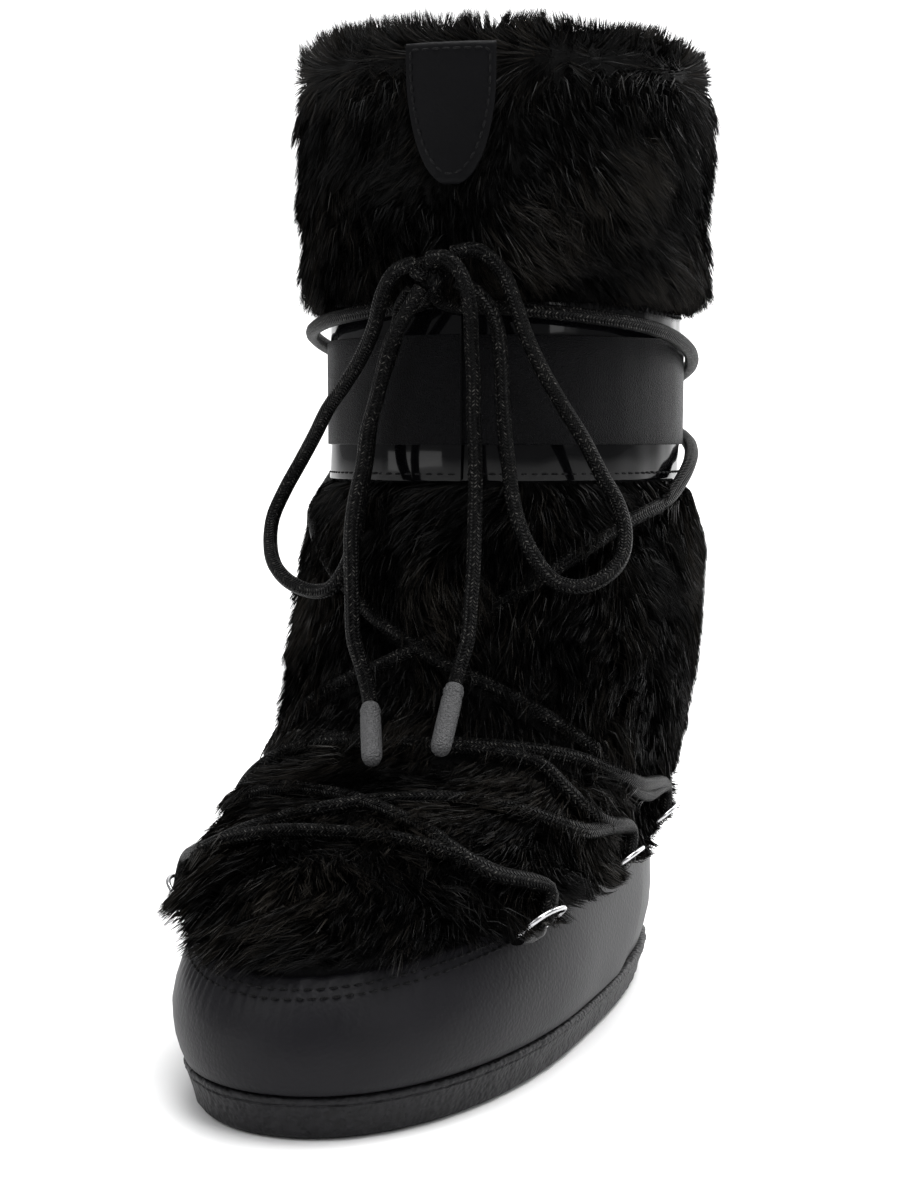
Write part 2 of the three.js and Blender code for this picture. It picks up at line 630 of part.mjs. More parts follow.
// A rolled tab: a six-sided roll lying along the fur's edge, bored for the wire
function tab({ base, around, up, out }) {
  const corners = [[-0.5, -0.35], [-0.1, -0.5], [0.35, -0.45], [0.5, 0], [0.35, 0.45], [-0.1, 0.5], [-0.5, 0.35]];
  const profile = corners.map(([x, y]) => new THREE.Vector2(x * TAB_DEPTH, y * TAB_HEIGHT));
  const frame = new THREE.Matrix4().makeBasis(out, up, around.clone().negate()).setPosition(base);
  const centred = (shape, length) => new THREE.ExtrudeGeometry(shape, { depth: length, bevelEnabled: false })
    .translate(0, 0, -length / 2).applyMatrix4(frame);
  const bore = centred(round(RING_WIRE + 2 * CLEARANCE + 0.6, 8), TAB_WIDTH + 4);
  const roll = centred(new THREE.Shape(profile), TAB_WIDTH);
  return geometryOf(solid(roll).subtract(solid(bore)));
}

// The wearer's left side has the rings' angles and the right side their mirror images
const mirrored = (geometry) => {
  const flipped = geometry.clone().scale(-1, 1, 1);
  const index = Array.from(flipped.index.array);
  for (let i = 0; i < index.length; i += 3) [index[i], index[i + 1]] = [index[i + 1], index[i]];
  return flipped.setIndex(index);
};
RING_ANGLES.forEach((angle, i) => {
  const frame = ringFrame(angle);
  add(`ring_left_${i + 1}`, wireLoop(frame), 0xc9c9cc, 0.25, 1);
  add(`ring_right_${i + 1}`, mirrored(wireLoop(frame)), 0xc9c9cc, 0.25, 1);
  add(`ring_tab_left_${i + 1}`, tab(frame), 0x17171a, 0.5);
  add(`ring_tab_right_${i + 1}`, mirrored(tab(frame)), 0x17171a, 0.5);
});

// Patch on the fur at the collar's front, a half oval with its tip down
const PATCH_TOP = COLLAR_HEIGHT - 3;
const PATCH_LIFT = CUFF_PILE + 2;
function patch() {
  const place = (t, up, lift) => {
    const height = mix(PATCH_TIP, PATCH_TOP, up);
    const width = PATCH_HALF_WIDTH * Math.sqrt(1 - (1 - Math.min(1, up * 1.25)) ** 2) + 1;
    const angle = PATCH_ANGLE + THREE.MathUtils.radToDeg((2 * t - 1) * width / SHAFT_HALF_DEPTH) * 0.8;
    return at(height, angle, lift);
  };
  return wall({
    around: 4,
    up: 6,
    ring: false,
    outer: (t, up) => place(t, up, PATCH_LIFT + PATCH_THICKNESS),
    inner: (t, up) => place(t, up, PATCH_LIFT),
  });
}
add('collar_patch', patch(), 0x232226, 0.5);

// Fur. What lies on it or beside it stays clear of its locks
const along = (path, step) => {
  const curve = new THREE.CatmullRomCurve3(path);
  return curve.getSpacedPoints(Math.ceil(curve.getLength() / step));
};
const laceLines = [...bothWays, ...Object.values(hanging)].flatMap((path) => along(path, 6));
const ringBases = RING_ANGLES.map((angle) => ringFrame(angle).base).flatMap((p) => [p, mirror(p)]);
const patchLine = along([at(PATCH_TIP + 4, PATCH_ANGLE, PATCH_LIFT), at(PATCH_TOP, PATCH_ANGLE, PATCH_LIFT)], 6);
const KEEP_CLEAR = [
  [laceLines, LACE_DIAMETER / 2 + LOCK_DEPTH / 2 + 1.2],
  [ringBases, RING_WIDTH],
  [patchLine, PATCH_HALF_WIDTH + 4],
  [[knotCentre], KNOT_RADIUS + 8],
];
const isClear = (point) => KEEP_CLEAR.every(([points, radius]) => points.every((p) => p.distanceTo(point) > radius));

// A lock is a flat four-sided horn. Its root is sunk in the pile and its tip stands off along the fall
const LOCK_STATIONS = [[0, 0, 1, 1], [0.55, 0.75, 0.8, 0.7], [1, 1, 0, 0]];
function lock(root, { around, out }, fall, length) {
  const centres = LOCK_STATIONS.map(([way, off]) => root.clone()
    .addScaledVector(fall, way * length).addScaledVector(out, off * LOCK_STANDOFF));
  if (!centres.every(isClear)) return null;
  const section4 = (k) => [[-1, -1], [1, -1], [1, 1], [-1, 1]].map(([w, d]) => centres[k].clone()
    .addScaledVector(around, w * LOCK_WIDTH / 2 * LOCK_STATIONS[k][2])
    .addScaledVector(out, d * LOCK_DEPTH / 2 * LOCK_STATIONS[k][3]));
  const points = [...section4(0), ...section4(1), centres[2]];
  const faces = [[0, 1, 2], [0, 2, 3]];
  for (let k = 0; k < 4; k += 1) {
    const next = (k + 1) % 4;
    faces.push([k, 4 + k, 4 + next], [k, 4 + next, next], [4 + k, 8, 4 + next]);
  }
  const made = solid(indexed(points, faces));
  return made.volume() > 0 ? made : solid(indexed(points, faces.map(([a, b, c]) => [a, c, b])));
}

// A lower fur row is a share of the way up from the fur's edge to the band and a share of the pile
const LOWER_FUR = [[0, 0.38], [0.06, 0.62], [0.16, 0.92], [0.32, 1], [0.46, 1], [0.6, 1], [0.76, 1], [0.92, 0.95],
  [1, 0.5]];
const FUR_COLUMNS = 28;
const FUR_FOOT_GAP = 3 * CLEARANCE;
const lowerRow = (angle, up) => mix(rowAt(furEdge(angle) + FUR_FOOT_GAP), rowAt(BAND_FOOT - CLEARANCE), up);
function lowerFurPoint(turn, j, lift) {
  const angle = turn * 360;
  if (j === 0) return at(furEdge(angle) + FUR_FOOT_GAP, angle, lift);
  const point = lifted(lowerRow(angle, LOWER_FUR[j][0]), angle, lift);
  point.z = Math.min(point.z, BAND_FOOT - CLEARANCE);
  return point;
}
const lowerFur = wall({
  around: FUR_COLUMNS,
  up: LOWER_FUR.length - 1,
  outer: (turn, _, j) => lowerFurPoint(turn, j, LOWER_PILE * LOWER_FUR[j][1]),
  inner: (turn, _, j) => lowerFurPoint(turn, j, -SUNK),
});
// The lace presses a groove of its own width into the fur
const laceSeat = solid(joined(bothWays.map(
  (path) => tube(path, LACE_DIAMETER + 3 * CLEARANCE, CROSSING_SIDES, CROSSING_STEP),
)));

const LOCKS_AROUND = 12;
const LOWER_LOCK_ROWS = [0.17, 0.4, 0.63, 0.86];
function lowerLocks() {
  const locks = [];
  LOWER_LOCK_ROWS.forEach((up, j) => {
    for (let i = 0; i < LOCKS_AROUND; i += 1) {
      const angle = (i + 0.5 * (j % 2)) * 360 / LOCKS_AROUND;
      const row = lowerRow(angle, up);
      const frame = axes(row, angle);
      const lift = LOWER_PILE * reading(LOWER_FUR, up) - LOCK_DEPTH / 2 + 0.8;
      locks.push(lock(lifted(row, angle, lift), frame, frame.up.clone().negate(), LOCK_LENGTH));
    }
  });
  return locks.filter(Boolean);
}
const withLocks = (fur, locks) => geometryOf(locks.reduce((sum, next) => sum.add(next), solid(fur)));
add('fur_lower', seated(withLocks(lowerFur, lowerLocks()), upperSeat, laceSeat), 0x0b0b0c, 0.9);

// The cuff's fur rolls over the collar. A row is a height and the outer and inner skins' lifts there
const CUFF_FOOT = BAND_TOP + 1.3;
const RIM = COLLAR_HEIGHT + CLEARANCE;
const LINED = -UPPER_WALL - CLEARANCE;
const CUFF_FUR = [
  { outer: [CUFF_FOOT, 0.22 * CUFF_PILE], inner: [CUFF_FOOT, -SUNK] },
  { outer: [CUFF_FOOT + 6, 0.62 * CUFF_PILE], inner: [CUFF_FOOT + 6, -SUNK] },
  { outer: [CUFF_FOOT + 24, 0.95 * CUFF_PILE], inner: [CUFF_FOOT + 24, -SUNK] },
  { outer: [CUFF_FOOT + 52, CUFF_PILE], inner: [CUFF_FOOT + 52, -SUNK] },
  { outer: [COLLAR_HEIGHT - 8, 0.98 * CUFF_PILE], inner: [COLLAR_HEIGHT - 8, -SUNK] },
  { outer: [COLLAR_HEIGHT + 0.6 * CUFF_RISE, 0.6 * CUFF_PILE], inner: [RIM - SUNK, -SUNK] },
  { outer: [COLLAR_HEIGHT + CUFF_RISE, 0], inner: [RIM - SUNK, -UPPER_WALL / 2] },
  { outer: [COLLAR_HEIGHT + 0.4 * CUFF_RISE, LINED - 3], inner: [RIM - SUNK, SUNK - UPPER_WALL] },
  { outer: [COLLAR_HEIGHT - CUFF_LIP, LINED - 2], inner: [COLLAR_HEIGHT - CUFF_LIP, SUNK - UPPER_WALL] },
];
const cuffFur = wall({
  around: FUR_COLUMNS,
  up: CUFF_FUR.length - 1,
  outer: (turn, _, j) => at(CUFF_FUR[j].outer[0], turn * 360, CUFF_FUR[j].outer[1]),
  inner: (turn, _, j) => at(CUFF_FUR[j].inner[0], turn * 360, CUFF_FUR[j].inner[1]),
});

// A cuff lock's row is its root's height, its lift as a share of the pile, and whether it falls or rises
const CUFF_LOCK_ROWS = [[CUFF_FOOT + 16, 0.6, -1], [CUFF_FOOT + 46, 0.82, -1], [COLLAR_HEIGHT - 7, 0.6, 1]];
function cuffLocks() {
  const locks = [];
  CUFF_LOCK_ROWS.forEach(([height, share, way], j) => {
    for (let i = 0; i < LOCKS_AROUND; i += 1) {
      const angle = (i + 0.5 * (j % 2)) * 360 / LOCKS_AROUND;
      const frame = axes(rowAt(height), angle);
      const fall = frame.up.clone().multiplyScalar(way);
      const length = way > 0 ? CUFF_RISE + 8 : LOCK_LENGTH;
      locks.push(lock(at(height, angle, CUFF_PILE * share), frame, fall, length));
    }
  });
  return locks.filter(Boolean);
}
add('fur_cuff', seated(withLocks(cuffFur, cuffLocks()), upperSeat), 0x0b0b0c, 0.9);

export default group;
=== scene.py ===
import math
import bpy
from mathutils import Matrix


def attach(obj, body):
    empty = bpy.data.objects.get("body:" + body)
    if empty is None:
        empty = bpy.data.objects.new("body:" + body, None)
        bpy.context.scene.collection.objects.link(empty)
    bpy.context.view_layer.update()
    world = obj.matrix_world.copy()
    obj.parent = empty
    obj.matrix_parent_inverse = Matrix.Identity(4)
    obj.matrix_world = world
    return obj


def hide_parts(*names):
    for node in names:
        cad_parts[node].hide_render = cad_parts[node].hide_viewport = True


bl_info = {
    "name": "Fur snow boot",
    "version": (1, 0, 0),
    "blender": (4, 5, 0),
    "location": "3D View > Sidebar > Snow boot",
    "description": "Dresses the frame of a snow boot with deep fur, leather, a glossy band and braided laces",
    "category": "Object",
}

import bpy
import numpy as np
from mathutils import Vector
from mathutils.kdtree import KDTree

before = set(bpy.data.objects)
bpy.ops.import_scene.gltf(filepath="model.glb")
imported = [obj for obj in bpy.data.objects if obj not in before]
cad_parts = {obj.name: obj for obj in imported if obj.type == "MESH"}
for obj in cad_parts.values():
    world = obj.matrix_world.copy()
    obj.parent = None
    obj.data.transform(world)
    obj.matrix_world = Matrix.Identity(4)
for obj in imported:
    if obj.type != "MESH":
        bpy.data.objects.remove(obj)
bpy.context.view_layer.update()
MM = 0.001

# The last's dimensions in millimetres, as in the frame. The toe points along -Y and +X is the wearer's left.
TOE_REACH = 200.0
HEEL_REACH = 60.0
BALL_HALF_WIDTH = 53.0
SHAFT_HALF_WIDTH = 59.5
SHAFT_HALF_DEPTH = 65.5
ANKLE_HEIGHT = 104.0
COLLAR_HEIGHT = 322.0
UPPER_WALL = 5.0
CLEARANCE = 0.3
SOLE_THICKNESS = 12.7
SOLE_MARGIN = 4.2
SOLE_FLARE = 3.2
INSOLE_THICKNESS = 4.0
FLOOR_OF_UPPER = SOLE_THICKNESS + CLEARANCE
RAND_TOE_HEIGHT = 45.0
RAND_CORNER_HEIGHT = 63.0
RAND_SWELL = 7.4
RAND_EDGE = 2.2
COUNTER_BACK_HEIGHT = 109.0
COUNTER_SWELL = 5.4
SEAM_FOOT_ANGLE = 100.0
SEAM_TOP_ANGLE = 115.0
BAND_FOOT = 179.0
BAND_TOP = 238.0
BAND_OUT = 2.3
STRIP_FOOT = 191.0
STRIP_TOP = 227.0
STRIP_OUT = 3.5
BAND_LAP = 1.6
BAND_LAP_ANGLE = 7.5
BAND_LAP_LENGTH = 26.0
PATCH_TIP = 274.0
PATCH_TOP = COLLAR_HEIGHT - 3.0
PATCH_ANGLE = 6.5
PATCH_HALF_WIDTH = 15.0
PATCH_LIFT = 10.8
PATCH_THICKNESS = 2.0
LOWER_PILE = 8.5
RING_ANGLES = (62.0, 92.0, 111.0)
RING_WIRE = 1.6
RING_WIDTH = 15.0
RING_HEIGHT = 11.6
RING_TILT = 50.0
TAB_WIDTH = 11.0
TAB_DEPTH = 6.5
TAB_HEIGHT = 6.0
LACE_DIAMETER = 5.0
KNOT_ANGLE = 2.5
KNOT_LIFT = 18.5
KNOT_HEIGHT = 246.0
AGLET_DIAMETER = 6.6
AGLET_LENGTH = 24.0

# Sections of the last from the sole to the collar: foot, shaft, rise, reach, tail, wide, middle, front, back
SECTIONS = np.array([
    (0.00, 0.000, 0.00, 0.985, 0.965, 0.945, 0.44, 2.15, 2.70),
    (0.16, 0.000, 0.00, 1.000, 1.010, 1.000, 0.44, 2.15, 2.70),
    (0.32, 0.000, 0.00, 0.970, 1.020, 1.005, 0.43, 2.15, 2.70),
    (0.44, 0.000, 0.00, 0.887, 1.020, 1.005, 0.42, 2.20, 2.65),
    (0.55, 0.000, 0.00, 0.766, 1.015, 1.005, 0.39, 2.25, 2.60),
    (0.64, 0.000, 0.10, 0.620, 1.001, 0.998, 0.35, 2.30, 2.55),
    (0.71, 0.000, 0.20, 0.472, 0.987, 0.996, 0.30, 2.30, 2.50),
    (0.78, 0.000, 0.35, 0.336, 0.969, 1.002, 0.23, 2.30, 2.45),
    (0.88, 0.000, 0.50, 0.245, 0.956, 1.013, 0.16, 2.25, 2.40),
    (1.00, 0.000, 0.65, 0.185, 0.943, 1.024, 0.11, 2.20, 2.30),
    (1.00, 0.064, 0.80, 0.136, 0.936, 1.029, 0.07, 2.15, 2.20),
    (1.00, 0.142, 0.90, 0.094, 0.947, 1.026, 0.04, 2.10, 2.15),
    (1.00, 0.234, 1.00, 0.060, 0.966, 1.015, 0.02, 2.05, 2.10),
    (1.00, 0.344, 1.00, 0.008, 0.998, 1.000, 0.00, 2.00, 2.00),
    (1.00, 0.480, 1.00, 0.000, 0.998, 1.000, 0.00, 2.00, 2.00),
    (1.00, 0.620, 1.00, 0.004, 1.000, 1.000, 0.00, 2.00, 2.00),
    (1.00, 0.807, 1.00, 0.019, 1.021, 1.024, 0.00, 2.00, 2.00),
    (1.00, 1.000, 1.00, 0.034, 1.053, 1.058, 0.00, 2.00, 2.00),
])
LAST_ROW = len(SECTIONS) - 1
NUDGE = 0.01

# The bow's points in millimetres, as in the frame
LOOP_LEFT = (
    (-0.7, -88, 249), (-7.7, -88.2, 246), (-12.7, -86.4, 239), (-16.8, -82.5, 230), (-24, -76.7, 220),
    (-32.1, -71.9, 211), (-40.3, -67.1, 203), (-47.4, -62.3, 194), (-54.5, -58.4, 185),
    (-60.5, -58.6, 175), (-63.4, -61.7, 166), (-61.2, -68.6, 157), (-55, -77.5, 150), (-45.8, -84.2, 145),
    (-35.7, -88, 143), (-28.6, -90.8, 145), (-23.6, -90.6, 152), (-21.7, -87.6, 162), (-21.8, -83.6, 174),
    (-22, -77.6, 186), (-21, -75.6, 200), (-17, -76.5, 212), (-13, -77.4, 222), (-9.9, -79.3, 230),
    (-7.9, -81.2, 236), (-3.8, -84.1, 240),
)
LOOP_RIGHT = (
    (9.2, -82.2, 252), (17.1, -79, 253), (25, -77.2, 246), (29, -76.3, 236), (32, -74.2, 226),
    (35.9, -71.1, 216), (41.8, -66.9, 204), (47.7, -62.8, 193), (53.6, -60.6, 181), (58.6, -59.5, 172),
    (61.6, -61.4, 163), (61.7, -65.4, 155), (57.9, -71.5, 149), (51.1, -77.7, 146), (44.2, -81.9, 148),
    (39.2, -84, 154), (34.2, -84.1, 163), (30.1, -81.2, 173), (27, -76.3, 184), (25, -74.4, 195),
    (24, -74.4, 209), (24, -76.2, 221), (23.2, -77.2, 229), (20.4, -78.6, 236), (15.8, -79.8, 240.5),
    (10.8, -81.6, 243.5),
)
END_LEFT = (
    (1.3, -88, 241), (-4.7, -87.2, 232), (-9.7, -86.3, 224), (-12.8, -85.4, 215), (-15.8, -84.4, 205),
    (-18.8, -84.5, 195), (-19.8, -85.5, 185), (-20.7, -89.6, 174), (-20.6, -93.6, 164),
    (-19.5, -96.5, 152), (-18.4, -98.5, 141), (-17.4, -99.5, 129), (-13.4, -101.4, 119),
    (-10.3, -104.3, 112), (-8.2, -108.3, 108),
)
END_RIGHT = (
    (4.3, -88.6, 250), (10.6, -89.8, 250), (14.6, -89.2, 246), (16.8, -88, 240), (17.2, -85.6, 233),
    (16.1, -81.6, 224), (16.1, -79.6, 212), (16.1, -79.6, 200), (17.1, -80.6, 188), (18.2, -83.6, 176),
    (19.3, -87.5, 165), (20.4, -91.5, 153), (20.5, -94.5, 141), (20.6, -97.5, 130), (18.6, -100.5, 120),
    (18.7, -104.5, 115),
)
AGLET_DROP_LEFT = (8.0, -18.0, -14.0)
AGLET_DROP_RIGHT = (1.0, -16.0, -18.0)

# The braid's columns round the lace and its rows in each millimetre
BRAID_COLUMNS = 12.0
BRAID_ROWS = 0.85


def mix(a, b, t):
    return a + (b - a) * t


def section(row):
    """The last's section at any row number, on a smooth curve through the table."""
    at_row = np.clip(row, 0, LAST_ROW)
    low = np.minimum(np.floor(at_row).astype(int), LAST_ROW - 1)
    t = (at_row - low)[..., None]
    a, b, c, d = (SECTIONS[np.clip(low + k, 0, LAST_ROW)] for k in (-1, 0, 1, 2))
    curve = 2 * b + (c - a) * t + (2 * a - 5 * b + 4 * c - d) * t**2 + (3 * b - a - 3 * c + d) * t**3
    return np.moveaxis(0.5 * curve, -1, 0)


def height_of(row):
    foot, shaft = section(row)[:2]
    return FLOOR_OF_UPPER + foot * (ANKLE_HEIGHT - FLOOR_OF_UPPER) + shaft * (COLLAR_HEIGHT - ANKLE_HEIGHT)


def skin(row, angle):
    """Points of the upper's outer skin, in millimetres. The angle in degrees runs from the toe through +X."""
    row, angle = np.broadcast_arrays(np.asarray(row, float), np.asarray(angle, float))
    rise, reach, tail, wide, middle, front, back = section(row)[2:]
    ahead, aside = np.cos(np.radians(angle)), np.sin(np.radians(angle))
    power = 2 / np.where(ahead > 0, front, back)
    front_reach = SHAFT_HALF_DEPTH + reach * (TOE_REACH - SHAFT_HALF_DEPTH)
    back_reach = tail * mix(HEEL_REACH, SHAFT_HALF_DEPTH, rise)
    half = wide * mix(BALL_HALF_WIDTH, SHAFT_HALF_WIDTH, rise)
    centre = middle * TOE_REACH
    length = np.where(ahead > 0, front_reach - centre, back_reach + centre)
    x = half * np.sign(aside) * np.abs(aside) ** power
    y = -centre - length * np.sign(ahead) * np.abs(ahead) ** power
    return np.stack([x, y, height_of(row)], -1)


def unit(v):
    return v / np.maximum(np.linalg.norm(v, axis=-1, keepdims=True), 1e-9)


def axes(row, angle):
    """The directions round the boot, up it and straight out of its skin."""
    around = unit(skin(row, np.add(angle, NUDGE)) - skin(row, np.subtract(angle, NUDGE)))
    above, below = np.minimum(np.add(row, NUDGE), LAST_ROW), np.maximum(np.subtract(row, NUDGE), 0)
    up = unit(skin(above, angle) - skin(below, angle))
    return around, up, unit(np.cross(around, up))


def lifted(row, angle, lift):
    return skin(row, angle) + axes(row, angle)[2] * np.asarray(lift, float)[..., None]


def row_at(height):
    low, high = np.zeros(np.shape(height)), np.full(np.shape(height), float(LAST_ROW))
    for _ in range(26):
        half = (low + high) / 2
        under = height_of(half) < height
        low, high = np.where(under, half, low), np.where(under, high, half)
    return (low + high) / 2


def at(height, angle, lift):
    """Points off the skin whose own height is given, carried straight up above the collar."""
    height, angle, lift = np.broadcast_arrays(*(np.asarray(v, float) for v in (height, angle, lift)))
    low, high = np.zeros(height.shape), np.full(height.shape, float(LAST_ROW))
    for _ in range(22):
        half = (low + high) / 2
        under = lifted(half, angle, lift)[..., 2] < height
        low, high = np.where(under, half, low), np.where(under, high, half)
    points = lifted((low + high) / 2, angle, lift)
    points[..., 2] = height
    return points


def fur_edge(angle):
    """Height of the fur's lower edge: the rand's top in front of the slanted seam, the counter's behind it."""
    turn = np.abs((np.asarray(angle, float) + 180) % 360 - 180)

    def backness(v):
        return np.abs(np.cos(np.radians(v))) ** 0.77

    share = (backness(turn) - backness(SEAM_TOP_ANGLE)) / (1 - backness(SEAM_TOP_ANGLE))
    front = mix(RAND_TOE_HEIGHT, RAND_CORNER_HEIGHT, (turn / SEAM_TOP_ANGLE) ** 1.6)
    return np.where(turn <= SEAM_TOP_ANGLE, front, mix(RAND_CORNER_HEIGHT, COUNTER_BACK_HEIGHT, share))


def smooth_noise(points, size, seed):
    """Soft random values from -1 to 1 that change over the given size in millimetres."""
    rng = np.random.default_rng(seed)
    total = np.zeros(points.shape[:-1])
    for _ in range(7):
        direction = unit(rng.normal(size=3))
        pitch = size * rng.uniform(0.75, 1.5)
        total += np.sin(points @ direction * 2 * np.pi / pitch + rng.uniform(0, 2 * np.pi))
    return np.clip(total / 2.6, -1, 1)


def spline(points, step):
    """A centripetal curve through the points, as in the frame, at even steps along its length."""
    p = np.asarray(points, float)
    p = np.vstack([2 * p[0] - p[1], p, 2 * p[-1] - p[-2]])
    fine = []
    for i in range(1, len(p) - 2):
        p0, p1, p2, p3 = p[i - 1:i + 3]
        t0 = 0.0
        t1 = t0 + np.linalg.norm(p1 - p0) ** 0.5
        t2 = t1 + np.linalg.norm(p2 - p1) ** 0.5
        t3 = t2 + np.linalg.norm(p3 - p2) ** 0.5
        t = np.linspace(t1, t2, 24, endpoint=False)[:, None]
        a1 = (t1 - t) / (t1 - t0) * p0 + (t - t0) / (t1 - t0) * p1
        a2 = (t2 - t) / (t2 - t1) * p1 + (t - t1) / (t2 - t1) * p2
        a3 = (t3 - t) / (t3 - t2) * p2 + (t - t2) / (t3 - t2) * p3
        b1 = (t2 - t) / (t2 - t0) * a1 + (t - t0) / (t2 - t0) * a2
        b2 = (t3 - t) / (t3 - t1) * a2 + (t - t1) / (t3 - t1) * a3
        fine.append((t2 - t) / (t2 - t1) * b1 + (t - t1) / (t2 - t1) * b2)
    fine = np.vstack([*fine, p[-2:-1]])
    run = np.concatenate([[0], np.cumsum(np.linalg.norm(np.diff(fine, axis=0), axis=1))])
    even = np.linspace(0, run[-1], max(2, int(round(run[-1] / step))) + 1)
    return np.stack([np.interp(even, run, fine[:, k]) for k in range(3)], -1)


# Meshes and pieces

def deselect():
    if bpy.context.object and bpy.context.object.mode != "OBJECT":
        bpy.ops.object.mode_set(mode="OBJECT")
    bpy.ops.object.select_all(action="DESELECT")


def choose(piece):
    deselect()
    piece.select_set(True)
    bpy.context.view_layer.objects.active = piece


def edit(piece, *steps):
    """Runs edit mode operators on all of a piece."""
    choose(piece)
    bpy.ops.object.mode_set(mode="EDIT")
    bpy.ops.mesh.select_all(action="SELECT")
    for step in steps:
        step()
    bpy.ops.object.mode_set(mode="OBJECT")


def modify(piece, kind, **values):
    choose(piece)
    modifier = piece.modifiers.new(kind.title(), kind)
    for name, value in values.items():
        setattr(modifier, name, value)
    bpy.ops.object.modifier_apply(modifier=modifier.name)


def smooth(piece, degrees=45):
    choose(piece)
    bpy.ops.object.shade_smooth_by_angle(angle=math.radians(degrees))


def dress(piece, material, slot, *nodes):
    """Gives a piece its material, rides it on the boot and lets it stand for the frame's nodes. The slot argument is
    not used.
    """
    piece.data.materials.clear()
    piece.data.materials.append(material)
    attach(piece, "root")
    if nodes:
        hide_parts(*nodes)
    return piece


def shell(name, columns, rows, place, ring=True, degrees=45):
    """A grid wrapped on itself along its second side, closed round the boot or capped at both ends."""
    deselect()
    bpy.ops.mesh.primitive_grid_add(x_subdivisions=columns, y_subdivisions=rows, size=1, location=(0, 0, 0))
    piece = bpy.context.object
    piece.name = piece.data.name = name
    flat = np.empty(len(piece.data.vertices) * 3)
    piece.data.vertices.foreach_get("co", flat)
    uv = flat.reshape(-1, 3)[:, :2] + 0.5
    points = place(uv[:, 0], uv[:, 1]) * MM
    piece.data.vertices.foreach_set("co", points.ravel())
    edit(piece, lambda: bpy.ops.mesh.remove_doubles(threshold=1e-6))
    if not ring:
        edit(piece, lambda: bpy.ops.mesh.fill_holes(sides=0))
    edit(piece, lambda: bpy.ops.mesh.normals_make_consistent(inside=False))
    smooth(piece, degrees)
    return piece


def closed_profile(points):
    """A closed outline of values at even steps, read at a share from 0 to 1."""
    p = np.asarray([*points, points[0]], float)
    run = np.arange(len(p)) / len(points)
    return lambda v: np.stack([np.interp(v, run, p[:, k]) for k in range(p.shape[1])], -1)


def mesh_piece(name, vertices, faces, uv=None):
    """A piece from arrays of points in millimetres and of faces with the same number of corners."""
    mesh = bpy.data.meshes.new(name)
    faces = np.asarray(faces, np.int32)
    corners = faces.shape[1]
    mesh.vertices.add(len(vertices))
    mesh.vertices.foreach_set("co", (np.asarray(vertices) * MM).astype(np.float32).ravel())
    mesh.loops.add(faces.size)
    mesh.loops.foreach_set("vertex_index", faces.ravel())
    mesh.polygons.add(len(faces))
    mesh.polygons.foreach_set("loop_start", np.arange(0, faces.size, corners, dtype=np.int32))
    mesh.polygons.foreach_set("use_smooth", np.ones(len(faces), bool))
    if uv is not None:
        layer = mesh.uv_layers.new(name="UVMap")
        layer.data.foreach_set("uv", np.asarray(uv, np.float32).ravel())
    mesh.update(calc_edges=True)
    mesh.validate()
    piece = bpy.data.objects.new(name, mesh)
    bpy.context.scene.collection.objects.link(piece)
    return piece


def joined(name, pieces):
    deselect()
    for piece in pieces:
        piece.select_set(True)
    bpy.context.view_layer.objects.active = pieces[0]
    bpy.ops.object.join()
    pieces[0].name = pieces[0].data.name = name
    return pieces[0]


# Materials

def shader(name, roughness, color=None, **sockets):
    """A material's node helper with its Principled shader's own sockets set."""
    material = bpy.data.materials.new(name)
    material.use_nodes = True
    nodes, links = material.node_tree.nodes, material.node_tree.links
    surface = nodes["Principled BSDF"]
    surface.inputs["Roughness"].default_value = roughness
    if color:
        surface.inputs["Base Color"].default_value = (*color, 1)
    for socket, value in sockets.items():
        surface.inputs[socket.replace("_", " ")].default_value = value
    return material, nodes, links, surface


def node(nodes, kind, **values):
    made = nodes.new(kind)
    for name, value in values.items():
        if hasattr(made, name):
            setattr(made, name, value)
        else:
            made.inputs[name.replace("_", " ")].default_value = value
    return made


def pattern(nodes, links, kind, scale, stretch=(1, 1, 1), **values):
    """A procedural texture on Object coordinates."""
    coordinates = node(nodes, "ShaderNodeTexCoord")
    mapping = node(nodes, "ShaderNodeMapping")
    mapping.inputs["Scale"].default_value = stretch
    texture = node(nodes, kind, **values)
    texture.inputs["Scale"].default_value = scale
    links.new(coordinates.outputs["Object"], mapping.inputs["Vector"])
    links.new(mapping.outputs["Vector"], texture.inputs["Vector"])
    return texture


def ramp(nodes, links, source, low, high, start=0.0, end=1.0):
    made = node(nodes, "ShaderNodeValToRGB")
    made.color_ramp.elements[0].position = start
    made.color_ramp.elements[1].position = end
    made.color_ramp.elements[0].color = (*low, 1)
    made.color_ramp.elements[1].color = (*high, 1)
    links.new(source, made.inputs["Fac"])
    return made.outputs["Color"]


def spread(nodes, links, source, low, high):
    made = node(nodes, "ShaderNodeMapRange")
    made.inputs["To Min"].default_value = low
    made.inputs["To Max"].default_value = high
    links.new(source, made.inputs["Value"])
    return made.outputs["Result"]


def relief(nodes, links, surface, heights):
    """Chains bump nodes: each height output has a depth in metres and a strength."""
    normal = None
    for source, depth, strength in heights:
        made = node(nodes, "ShaderNodeBump")
        made.inputs["Distance"].default_value = depth
        made.inputs["Strength"].default_value = strength
        links.new(source, made.inputs["Height"])
        if normal:
            links.new(normal, made.inputs["Normal"])
        normal = made.outputs["Normal"]
    links.new(normal, surface.inputs["Normal"])


